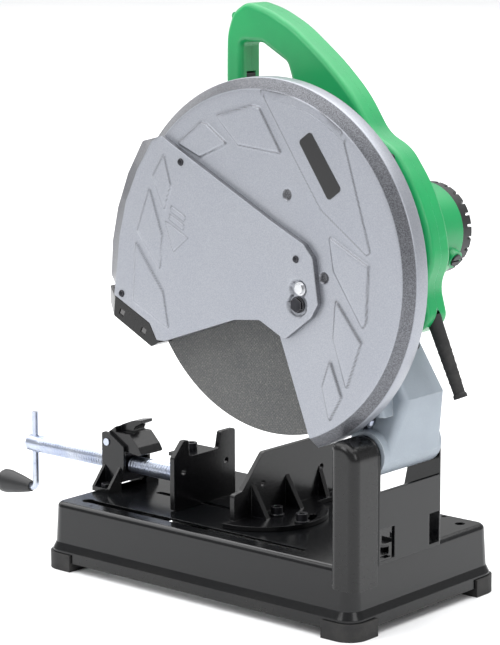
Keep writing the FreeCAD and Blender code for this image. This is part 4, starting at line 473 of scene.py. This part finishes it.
def polygon_distance(y, z, corners):
    """Distance of each point from a polygon's outline, less than 0 inside.

    It is the least distance to any side, signed by how many sides a ray from the point crosses.
    """
    far = np.full(y.shape, 1e9)
    inside = np.zeros(y.shape, bool)
    for (y0, z0), (y1, z1) in zip(corners, corners[1:] + corners[:1]):
        along = ((y - y0) * (y1 - y0) + (z - z0) * (z1 - z0)) / ((y1 - y0) ** 2 + (z1 - z0) ** 2)
        along = np.clip(along, 0, 1)
        far = np.minimum(far, np.hypot(y - y0 - along * (y1 - y0), z - z0 - along * (z1 - z0)))
        crosses = (z0 > z) != (z1 > z)
        if z1 != z0:
            inside ^= crosses & (y < (y1 - y0) * (z - z0) / (z1 - z0) + y0)
    return np.where(inside, -far, far)


def pressed(y, z, corners, slope):
    """Share of a pressing's height: 1 inside the polygon and falling to 0 over the slope outside it."""
    return smooth_step(1 - polygon_distance(y, z, corners) / slope)


def spun(centre, line, side, profile, steps=64):
    """A profile of (distance along, radius) pairs turned about a line: one row of points for each pair."""
    line = Vector(line).normalized()
    first = (Vector(side) - line * Vector(side).dot(line)).normalized()
    second = line.cross(first)
    turn = np.linspace(0, 2 * math.pi, steps, endpoint=False)
    round_points = np.cos(turn)[:, None] * np.array(first) + np.sin(turn)[:, None] * np.array(second)
    along = np.array([pair[0] for pair in profile])[:, None, None]
    radius = np.array([pair[1] for pair in profile])[:, None, None]
    return np.array(centre) + along * np.array(line) + radius * round_points[None]


def softened(profile, radius, steps=4):
    """A profile with rounded corners: each becomes a curve that leaves one side and meets the next."""
    shown = [profile[0]]
    for before, here, after in zip(profile, profile[1:], profile[2:]):
        start, corner, stop = np.array(before, float), np.array(here, float), np.array(after, float)
        reach = min(radius, np.linalg.norm(start - corner) * 0.45, np.linalg.norm(stop - corner) * 0.45)
        one = corner + (start - corner) / max(np.linalg.norm(start - corner), 1e-9) * reach
        two = corner + (stop - corner) / max(np.linalg.norm(stop - corner), 1e-9) * reach
        for share in np.linspace(0, 1, steps):
            shown.append(tuple((1 - share) ** 2 * one + 2 * share * (1 - share) * corner + share ** 2 * two))
    shown.append(profile[-1])
    return shown


# ---- guard ----------------------------------------------------------------------------------
SPINDLE = (89.5, 371.6)
GUARD_PANELS = [
    [(-19, 491), (11, 513), (18, 512), (43, 495), (9, 480)],
    [(34, 522), (80.5, 535), (89, 533), (116, 491.5), (61.6, 496)],
    [(182, 409.5), (229, 386), (226.5, 331), (223, 326), (187.6, 378)],
    [(190, 346), (220, 309), (203, 263), (187, 309.5)],
    [(182, 283.5), (195.4, 251), (181.4, 227), (173, 258)],
]
PLATE_PANEL = [(92.5, 551.5), (142, 479), (170, 439), (227, 399), (230, 401), (194, 517), (150, 545)]
FACE_HOLES = [(125.2, 449.0), (173.0, 369.3)]
GUARD_X = (89.5, 106.2, 115.6)
GUARD_R = (181.0, 193.0)
GUARD_ARC = (-69.0, 182.0)
FACE_END = 141.0
SHEET = 2.0
HUB_RADIUS = 40.0
JOIN_RADIUS = 173.0
FACE_ROWS = 96
BOSS_CIRCLE = 185.4
BOSS_ANGLES = (-64, -20, 40, 95, 140, 176)


def guard_height(y, z):
    """Height of the guard's face above its plane: pressed panels, less the two holes."""
    settings = bpy.context.scene.chop_saw_guard
    height = np.zeros(y.shape)
    for corners in GUARD_PANELS:
        height = np.maximum(height, pressed(y, z, corners, settings.slope / MM) * settings.emboss / MM)
    height = np.maximum(height, pressed(y, z, PLATE_PANEL, settings.slope / MM) * 0.6)
    edge = GUARD_R[0] - np.hypot(y - SPINDLE[0], z - SPINDLE[1])
    height = height * smooth_step(edge / 4)
    for centre in FACE_HOLES:
        height = height - 1.4 * smooth_step((6.2 - np.hypot(y - centre[0], z - centre[1])) / 1.4)
    return height


def guard_slopes(y, z):
    """1 half way up the slope round each pressed panel, and 0 on the panels and between them."""
    slope = bpy.context.scene.chop_saw_guard.slope / MM
    shown = np.zeros(y.shape)
    for corners in GUARD_PANELS + [PLATE_PANEL]:
        share = pressed(y, z, corners, slope)
        shown = np.maximum(shown, 4 * share * (1 - share))
    return shown


def guard_grid(start, stop, steps, profile):
    """A closed section of (radius, x) pairs carried round the spindle from one angle to the other."""
    turn = np.radians(np.linspace(start, stop, steps))[:, None]
    radius = np.array([pair[0] for pair in profile])[None]
    along = np.array([pair[1] for pair in profile])[None] + np.zeros(turn.shape)
    y = SPINDLE[0] + np.cos(turn) * radius
    z = SPINDLE[1] + np.sin(turn) * radius
    return np.stack([along, y, z], 2)


def closed_section(grid):
    """Adds a flat end to each end of a section carried along a path, closed at its middle."""
    middles = grid[[0, -1]].mean(1, keepdims=True)
    first = np.broadcast_to(middles[0], grid[:1].shape)
    last = np.broadcast_to(middles[1], grid[:1].shape)
    return np.concatenate([first, grid, last])


def from_spindle(grid):
    """Distance of each point of a grid from the spindle's line."""
    return np.hypot(grid[..., 1] - SPINDLE[0], grid[..., 2] - SPINDLE[1])


def guard_shade(grid):
    """1 in the two holes, and part of it on the slopes round the pressed panels."""
    y, z = grid[..., 1], grid[..., 2]
    shade = 0.75 * guard_slopes(y, z) * (grid[..., 0] > GUARD_X[2] - 0.5)
    for centre in FACE_HOLES:
        shade = np.maximum(shade, smooth_step((6.3 - np.hypot(y - centre[0], z - centre[1])) / 0.9))
    return shade


def guard_boss(angle):
    """A round screw boss behind the guard's bevel, at one angle round the spindle."""
    back, bevel, _ = GUARD_X
    turn = math.radians(angle)
    centre = (back, SPINDLE[0] + BOSS_CIRCLE * math.cos(turn), SPINDLE[1] + BOSS_CIRCLE * math.sin(turn))
    tall = bevel + 1.5 - back
    return spun(centre, (1, 0, 0), (0, 1, 0), softened([(0, 0), (0, 4.5), (tall, 4.5), (tall, 0)], 0.6), 28)


def make_guard():
    """Front half of the guard: a pressed face in a bevelled rim, its bosses, and the ring round the hub."""
    face_radius, rim_radius = GUARD_R
    back, bevel, front = GUARD_X
    wall = rim_radius - SHEET
    outside = [(174, front), (face_radius, front), (rim_radius, bevel), (rim_radius, back), (wall, back)]
    inside = [(wall, back + 0.1), (wall, bevel - 1), (face_radius - 1, front - SHEET)]
    rim = [(JOIN_RADIUS, front - SHEET), (JOIN_RADIUS, front)]
    rim += softened(outside, 1.4) + softened(inside, 1.0)
    rim_grid = closed_section(guard_grid(*GUARD_ARC, 620, rim))
    radii = np.concatenate([
        np.linspace(HUB_RADIUS, JOIN_RADIUS, FACE_ROWS), np.linspace(JOIN_RADIUS, HUB_RADIUS, 14)])
    face = guard_grid(GUARD_ARC[0], FACE_END, 520, [(radius, front) for radius in radii])
    face[:, :FACE_ROWS, 0] += guard_height(face[:, :FACE_ROWS, 1], face[:, :FACE_ROWS, 2])
    face[:, FACE_ROWS:, 0] -= SHEET
    grids, bevel_shades, shades = [], [], []
    for grid in (rim_grid, closed_section(face)):
        radius = from_spindle(grid)
        grids.append((grid, False, True))
        # painted shade on the bevel band between the face and the rim
        bevel_shades.append(((radius > face_radius + 0.5) & (radius < rim_radius - 0.8)).astype(float))
        shades.append(guard_shade(grid))
    for angle in BOSS_ANGLES:
        boss = guard_boss(angle)
        grids.append((boss, False, True))
        # painted shade: the bosses get part of the bevel's painted shade
        bevel_shades.append(np.ones(boss.shape[:2]) * 0.4)
        shades.append(np.zeros(boss.shape[:2]))
    turn = np.linspace(0, 2 * math.pi, 96, endpoint=False)[:, None]
    hub = np.array([HUB_RADIUS, HUB_RADIUS, HUB_RADIUS + 12, HUB_RADIUS + 12])
    level = np.array([front - SHEET, front - 0.06, front - 0.06, front - SHEET])
    ring = [level + 0 * turn, SPINDLE[0] + np.cos(turn) * hub, SPINDLE[1] + np.sin(turn) * hub]
    tongue = np.stack(ring, 2)
    grids.append((tongue, True, True))
    bevel_shades.append(np.zeros(tongue.shape[:2]))
    shades.append(np.zeros(tongue.shape[:2]))
    piece_from("guard_pressing", grids, "head", ["main_guard"], "silver",
               values={"bevel": bevel_shades, "shade": shades})


# ---- side cover -----------------------------------------------------------------------------
COVER_SIDES = [
    (-41.0, 497.7), (108.2, 422.4), (151.8, 402.1), (163.5, 389.0), (170.5, 343.0), (161.8, 328.3),
    (127.0, 302.0), (93.7, 318.0), (59.3, 314.1), (-37.7, 279.7), (-50.0, 279.0), (-60.0, 296.5),
    (-111.6, 321.3)]
FACE_ARC = [(-107.2, 351.0), (-102.5, 387.0), (-92.8, 424.1), (-76.0, 459.0), (-53.8, 491.8)]
RIM_ARC = [(-123.0, 341.0), (-120.5, 378.0), (-112.0, 415.0), (-96.5, 453.0), (-74.7, 489.0)]
COVER_MIDDLE = (20.0, 390.0)
COVER_X = (98.0, 113.0, 122.0)
COVER_SHEET = 1.5
COVER_PANELS = [
    [(-36.5, 476), (-28, 447), (-37, 422), (-51, 454)],
    [(-57, 439), (-40.5, 393), (-44, 358), (-74, 395)],
    [(-77, 380), (-40, 332), (-33, 296), (-81, 319)],
]
ARROW_BARS = [
    [(-26, 424), (-8, 415), (-9, 411), (-27, 420)],
    [(-28, 415), (-10, 406), (-11, 402), (-29, 411)],
    [(-34, 407), (-5, 393), (-24, 378)],
]
COVER_PIVOT = (143.5, 339.6)
COVER_SCREW = (146.5, 356.2)
COVER_STEPS = 760
COVER_ROWS = 84
COVER_SIDE = slice(COVER_ROWS, COVER_ROWS + 4)


def outline_radius(corners, turn):
    """Distance of a polygon's outline from the cover's middle at each angle.

    It is averaged over a few neighbouring angles, which rounds the corners.
    """
    reach = np.full(turn.shape, 1e9)
    y, z = np.cos(turn), np.sin(turn)
    for (y0, z0), (y1, z1) in zip(corners, corners[1:] + corners[:1]):
        y0, y1 = y0 - COVER_MIDDLE[0], y1 - COVER_MIDDLE[0]
        z0, z1 = z0 - COVER_MIDDLE[1], z1 - COVER_MIDDLE[1]
        cross = y * (z1 - z0) - z * (y1 - y0)
        cross = np.where(np.abs(cross) < 1e-9, 1e-9, cross)
        far = (y0 * (z1 - z0) - z0 * (y1 - y0)) / cross
        share = (y0 * z - z0 * y) / cross
        hit = (far > 0) & (share >= -1e-6) & (share <= 1 + 1e-6)
        reach = np.where(hit, np.minimum(reach, far), reach)
    width = max(3, int(turn.size * 1.2 / 360) | 1)
    kernel = np.hanning(width + 2)[1:-1]
    padded = np.concatenate([reach[-width:], reach, reach[:width]])
    return np.convolve(padded, kernel / kernel.sum(), "same")[width:-width]


def cover_height(y, z):
    """Height of the cover's face: pressed panels and an arrow, less the two wells."""
    settings = bpy.context.scene.chop_saw_cover
    height = np.zeros(y.shape)
    for corners in COVER_PANELS:
        height = np.maximum(height, pressed(y, z, corners, 2.6) * settings.emboss / MM)
    for corners in ARROW_BARS:
        height = np.maximum(height, pressed(y, z, corners, 1.4) * 0.9)
    height = height - settings.recess / MM * cover_wells(y, z)
    return height


def cover_wells(y, z):
    """1 inside the round well of the pivot and the curved well of the slot, and 0 outside them."""
    pivot = 12.0 - np.hypot(y - COVER_PIVOT[0], z - COVER_PIVOT[1])
    slot = np.full(y.shape, -1e9)
    arm_y, arm_z = COVER_SCREW[0] - COVER_PIVOT[0], COVER_SCREW[1] - COVER_PIVOT[1]
    for angle in np.radians(np.arange(0, 13, 1.0)):
        place_y = COVER_PIVOT[0] + arm_y * math.cos(angle) - arm_z * math.sin(angle)
        place_z = COVER_PIVOT[1] + arm_y * math.sin(angle) + arm_z * math.cos(angle)
        slot = np.maximum(slot, 8.5 - np.hypot(y - place_y, z - place_z))
    return smooth_step((np.maximum(pivot, slot) + 0.6) / 1.2)


def make_cover():
    """Pressed side cover: a face spread from its middle to its outline, a bevel in front, and a rim."""
    turn = np.linspace(0, 2 * math.pi, COVER_STEPS, endpoint=False)
    face_out = outline_radius(COVER_SIDES + FACE_ARC, turn)
    rim_out = outline_radius(COVER_SIDES + RIM_ARC, turn)
    back, bevel, front = COVER_X
    inner = front - COVER_SHEET
    share = np.linspace(0, 1, COVER_ROWS)[:, None]
    rows = [(face_out[None] - 0.7) * share]
    heights = [np.full((COVER_ROWS, COVER_STEPS), front)]
    outside = ((face_out, front - 0.5), (rim_out, bevel + 0.4), (rim_out, bevel - 0.6), (rim_out, back))
    inside = ((rim_out, back), (rim_out, bevel - 0.8), (face_out, inner))
    for thick, side in ((0, outside), (COVER_SHEET, inside)):
        for radius, x in side:
            rows.append(radius[None] - thick)
            heights.append(np.full((1, COVER_STEPS), x))
    share = np.linspace(1, 0, 30)[:, None]
    rows.append((face_out[None] - COVER_SHEET - 0.7) * share)
    heights.append(np.full((30, COVER_STEPS), inner))
    radius, along = np.concatenate(rows), np.concatenate(heights)
    y = COVER_MIDDLE[0] + radius * np.cos(turn)
    z = COVER_MIDDLE[1] + radius * np.sin(turn)
    along = along + np.where(along > inner - 0.01, cover_height(y, z), 0)
    # painted shade on the cover's bevel rows, where the bevel is wider than 2 mm
    bevelled = (rim_out - face_out) > 2
    bevel_shade_zone = np.zeros(radius.shape)
    bevel_shade_zone[COVER_SIDE] = bevelled.astype(float)
    shade = cover_wells(y, z) * 0.2
    for corners in COVER_PANELS + ARROW_BARS:
        part = pressed(y, z, corners, 2.0)
        shade = np.maximum(shade, 2.2 * part * (1 - part) * (along > inner))
    shade[COVER_SIDE] = np.maximum(shade[COVER_SIDE], 0.7 * ~bevelled)
    grid = np.stack([along, y, z], 2)
    grids, values = [(grid, False, True)], {"bevel": [bevel_shade_zone], "shade": [shade]}
    piece_from("side_cover_pressing", grids, "cover", ["side_cover"], "silver", values=values)


# ---- vise screw, knob and cord armour -------------------------------------------------------
VISE_X = 16.0
SCREW_Z = 102.0
CRANK_LOW = 48.0
THREAD = (-334.0, -118.0)
SCREW_HEAD = [(-354, 0), (-354, 10), (-334, 10), (-334, 0)]
SCREW_TAIL = [
    (-118, 0), (-118, 9.9), (-110.4, 9.9), (-110.4, 7), (-98.4, 7), (-98.4, 5.5), (-95.6, 5.5), (-95.6, 7),
    (-92, 7), (-92, 0)]
KNOB_BORE = 4.05
KNOB = [
    (-393, KNOB_BORE), (-393, 9), (-402, 9), (-402, 12.5), (-399, 14), (-392, 14), (-374, 11), (-358, 7.5),
    (-354.5, 6.5), (-354, 6.3), (-354, KNOB_BORE)]


def along_vise(height, profile, steps):
    """A profile turned about a line along the vise at one height."""
    return spun((VISE_X, 0, height), (0, 1, 0), (1, 0, 0), profile, steps)


def make_screw():
    """Vise screw: its radius falls and rises with angle and length, which winds one groove round it."""
    settings = bpy.context.scene.chop_saw_screw
    pitch, depth = settings.pitch / MM, settings.depth / MM
    low, high = THREAD
    along = np.arange(low, high, pitch / 12)[:, None]
    turn = np.linspace(0, 2 * math.pi, 36, endpoint=False)[None]
    wave = (along / pitch - turn / (2 * math.pi)) % 1.0
    groove = np.clip((np.abs(wave - 0.5) * 2 - 0.12) / 0.76, 0, 1)
    ends = np.clip(np.minimum(along - low, high - along) / (2 * pitch), 0, 1)
    radius = 10.0 - depth * groove * ends - 0.05
    thread = np.stack([VISE_X + radius * np.cos(turn), along + 0 * turn, SCREW_Z + radius * np.sin(turn)], 2)
    caps = [end.mean(1, keepdims=True) + 0 * end for end in (thread[:1], thread[-1:])]
    grids = [(np.concatenate([caps[0], thread, caps[1]]), False, True)]
    grids.append((along_vise(SCREW_Z, softened(SCREW_HEAD, 0.8), 36), False, True))
    grids.append((along_vise(SCREW_Z, softened(SCREW_TAIL, 0.4), 36), False, True))
    piece_from("vise_screw_thread", grids, "screw", ["vise_screw"], "zinc", 42)


def make_knob():
    """Crank knob: a waisted profile turned about the crank's lower leg, with a hollow mouth."""
    knob = along_vise(CRANK_LOW, softened(KNOB, 1.4, 5), 64)
    piece_from("crank_knob_grip", [(knob, True, True)], "knob", ["crank_knob"], "black")


def make_armour():
    """Cord armour: a tapered sleeve with six soft rings and a bead, turned about its sloping line."""
    top, end = Vector((20.0, 243.0, 314.0)), Vector((20.0, 274.0, 245.0))
    line = (end - top).normalized()
    length = (end - top).length + 12
    root = top - line * 12
    along = np.linspace(0, length, 150)
    radius = 8 - 2 * along / length
    for index in range(6):
        middle = 28 + index * 8 + 1.75
        swell = smooth_step(1 - np.abs(along - middle) / 2.6)
        radius = np.maximum(radius, radius + (7.6 - index * 0.15 - radius) * swell)
    bead = smooth_step((along - length + 5) / 1.2)
    radius = radius + (7.25 - radius) * bead
    outer = list(zip(along, radius))
    profile = outer + [(length, 6.4), (length, 4.1), (0.0, 4.1)]
    sleeve = spun(root, line, (1, 0, 0), profile, 56)
    grids = [(sleeve, True, True)]
    piece_from("cord_armour_sleeve", grids, "head", ["cord_armour"], "rubber", 50)


# ---- operators ------------------------------------------------------------------------------
class CHOPSAW_OT_guard(bpy.types.Operator):
    """Add the pressed guard"""

    bl_idname = "chop_saw.guard"
    bl_label = "Guard"

    def execute(self, context):
        make_guard()
        dress(["name_plate"], "plate")
        dress(["casting_screws"], "dark")
        return {"FINISHED"}


class CHOPSAW_OT_cover(bpy.types.Operator):
    """Add the pressed side cover and finish its fixings"""

    bl_idname = "chop_saw.cover"
    bl_label = "Side cover"

    def execute(self, context):
        make_cover()
        dress(["cover_rivets", "cover_pivot_bolt"], "dark")
        dress(["cover_slot_screw"], "bright")
        dress(["spark_deflector"], "sheet")
        return {"FINISHED"}


class CHOPSAW_OT_wheel(bpy.types.Operator):
    """Finish the wheel, its flanges and the spindle"""

    bl_idname = "chop_saw.wheel"
    bl_label = "Wheel"

    def execute(self, context):
        dress(["abrasive_wheel"], "wheel")
        dress(["inner_flange", "outer_flange", "arbor_bolt"], "zinc")
        dress(["spindle", "gear_wheel", "bearings"], "bright")
        return {"FINISHED"}


class CHOPSAW_OT_arm(bpy.types.Operator):
    """Finish the cast arm and the gear cover"""

    bl_idname = "chop_saw.arm"
    bl_label = "Arm"

    def execute(self, context):
        dress(["arm_casting", "gear_cover"], "arm")
        dress(["hinge_pin", "pin_retainers", "stop_bolt"], "zinc")
        dress(["return_spring"], "dark")
        return {"FINISHED"}


class CHOPSAW_OT_housing(bpy.types.Operator):
    """Finish the motor housing, the handle and its controls"""

    bl_idname = "chop_saw.housing"
    bl_label = "Housing and handle"

    def execute(self, context):
        dress(["motor_housing", "handle_near_half", "handle_far_half"], "green")
        dress(["tail_cover", "brush_caps", "trigger", "lock_button", "switch_body", "cooling_fan"], "black")
        dress(["housing_screws", "trigger_pin"], "dark")
        return {"FINISHED"}


class CHOPSAW_OT_motor(bpy.types.Operator):
    """Finish the motor's inner parts"""

    bl_idname = "chop_saw.motor"
    bl_label = "Motor"

    def execute(self, context):
        dress(["armature_windings", "field_coils", "commutator"], "copper")
        dress(["armature_core", "stator"], "lamination")
        dress(["carbon_brushes"], "carbon")
        dress(["armature_shaft"], "bright")
        return {"FINISHED"}


class CHOPSAW_OT_armour(bpy.types.Operator):
    """Add the cord armour"""

    bl_idname = "chop_saw.armour"
    bl_label = "Cord armour"

    def execute(self, context):
        make_armour()
        return {"FINISHED"}


class CHOPSAW_OT_base(bpy.types.Operator):
    """Finish the base, the bracket and the spark hood"""

    bl_idname = "chop_saw.base"
    bl_label = "Base"

    def execute(self, context):
        dress(["base_pan", "hinge_bracket"], "base")
        dress(["spark_hood"], "sheet")
        dress(["rubber_feet"], "rubber")
        dress(["base_screws", "base_bolts"], "dark")
        return {"FINISHED"}


class CHOPSAW_OT_vise(bpy.types.Operator):
    """Finish the fence, the jaw and the quick-release bracket"""

    bl_idname = "chop_saw.vise"
    bl_label = "Vise"

    def execute(self, context):
        dress(["fence", "movable_jaw"], "fence")
        dress(["nut_bracket"], "base")
        dress(["lever_pin", "crank_rod", "screw_pins", "knob_retainer"], "zinc")
        dress(["thrust_block", "nut_block", "fence_bolts", "jaw_bolts"], "dark")
        dress(["release_lever"], "fence")
        return {"FINISHED"}


class CHOPSAW_OT_screw(bpy.types.Operator):
    """Add the threaded vise screw and the crank's knob"""

    bl_idname = "chop_saw.screw"
    bl_label = "Vise screw"

    def execute(self, context):
        make_screw()
        make_knob()
        return {"FINISHED"}


def area_light(name, place, target, width, power):
    """A square soft light that faces its target."""
    data = bpy.data.lights.new(name, "AREA")
    data.energy = power
    data.size = width
    light = bpy.data.objects.new(name, data)
    light.location = place
    light.rotation_euler = (Vector(target) - Vector(place)).to_track_quat("-Z", "Y").to_euler()
    bpy.context.scene.collection.objects.link(light)


class CHOPSAW_OT_stage(bpy.types.Operator):
    """Add the floor, the soft lights and the camera"""

    bl_idname = "chop_saw.stage"
    bl_label = "Studio"

    def execute(self, context):
        settings = context.scene.chop_saw_studio
        turn = np.linspace(0, 2 * math.pi, 97)[:-1]
        rings = np.array([0.0, 0.6, 1.5, settings.floor_radius])
        flat = np.stack([rings[:, None] * way for way in (np.cos(turn), np.sin(turn), 0 * turn)], 2)
        mesh = bpy.data.meshes.new("floor")
        mesh.from_pydata(flat.reshape(-1, 3), [], grid_faces(4, 96, False, True)[:, ::-1])
        mesh.materials.append(studio_floor("pale_floor"))
        work = bmesh.new()
        work.from_mesh(mesh)
        bmesh.ops.remove_doubles(work, verts=work.verts, dist=1e-6)
        bmesh.ops.recalc_face_normals(work, faces=work.faces)
        work.to_mesh(mesh)
        work.free()
        floor = bpy.data.objects.new("floor", mesh)
        context.scene.collection.objects.link(floor)
        world = bpy.data.worlds.new("studio")
        context.scene.world = world
        world.use_nodes = True
        world.node_tree.nodes["Background"].inputs["Color"].default_value = (1.0, 1.0, 1.0, 1.0)
        world.node_tree.nodes["Background"].inputs["Strength"].default_value = 0.5
        middle = (0.0, 0.0, 0.3)
        area_light("key", (1.9, -0.6, 1.7), middle, 1.0, 15.0)
        area_light("rear", (0.5, 2.2, 1.2), middle, 1.0, 9.0)
        area_light("top", (-0.3, 0.2, 2.4), middle, 1.4, 10.0)
        area_light("ceiling", (-1.5, -1.5, 7.0), (-1.5, -1.5, 0.0), 14.0, 1500.0)
        area_light("front", (0.0, -2.2, 1.2), middle, 1.2, 7.0)
        context.scene.view_settings.view_transform = "Standard"
        side, rise, roll = math.radians(40.78), math.radians(10.71), math.radians(-0.2)
        look = Vector((-math.cos(side) * math.cos(rise), -math.sin(side) * math.cos(rise), -math.sin(rise)))
        data = bpy.data.cameras.new("camera")
        data.lens = settings.lens
        data.sensor_width = 36.0
        camera = bpy.data.objects.new("camera", data)
        context.scene.collection.objects.link(camera)
        turned = look.to_track_quat("-Z", "Y").to_matrix().to_4x4() @ Matrix.Rotation(roll, 4, "Z")
        camera.matrix_world = Matrix.Translation((1.99233, 1.69447, 0.78133)) @ turned
        context.scene.camera = camera
        return {"FINISHED"}


OPERATORS = (
    CHOPSAW_OT_stage, CHOPSAW_OT_guard, CHOPSAW_OT_cover, CHOPSAW_OT_wheel, CHOPSAW_OT_arm,
    CHOPSAW_OT_housing, CHOPSAW_OT_motor, CHOPSAW_OT_armour, CHOPSAW_OT_base, CHOPSAW_OT_vise,
    CHOPSAW_OT_screw)


class CHOPSAW_PT_sidebar(bpy.types.Panel):
    """Lists the pieces of the chop saw"""

    bl_idname = "CHOPSAW_PT_sidebar"
    bl_label = "Chop saw"
    bl_space_type = "VIEW_3D"
    bl_region_type = "UI"
    bl_category = "Chop saw"

    def draw(self, context):
        for operator in OPERATORS:
            self.layout.operator(operator.bl_idname)
        for group in SETTINGS:
            settings = getattr(context.scene, group)
            for key in settings.bl_rna.properties.keys():
                if key not in ("rna_type", "name"):
                    self.layout.prop(settings, key)


SETTINGS = {
    "chop_saw_paint": PaintSettings,
    "chop_saw_guard": GuardSettings,
    "chop_saw_cover": CoverSettings,
    "chop_saw_screw": ScrewSettings,
    "chop_saw_studio": StudioSettings,
}


def register():
    """Registers the settings, the operators and the sidebar."""
    for name, group in SETTINGS.items():
        bpy.utils.register_class(group)
        setattr(bpy.types.Scene, name, bpy.props.PointerProperty(type=group))
    for operator in OPERATORS:
        bpy.utils.register_class(operator)
    bpy.utils.register_class(CHOPSAW_PT_sidebar)


def unregister():
    """Removes what register added."""
    bpy.utils.unregister_class(CHOPSAW_PT_sidebar)
    for operator in reversed(OPERATORS):
        bpy.utils.unregister_class(operator)
    for name, group in reversed(SETTINGS.items()):
        delattr(bpy.types.Scene, name)
        bpy.utils.unregister_class(group)


def main():
    """Builds every piece."""
    register()
    for operator in OPERATORS:
        getattr(bpy.ops.chop_saw, operator.bl_idname.split(".")[1])()


if __name__ == "__main__":
    main()
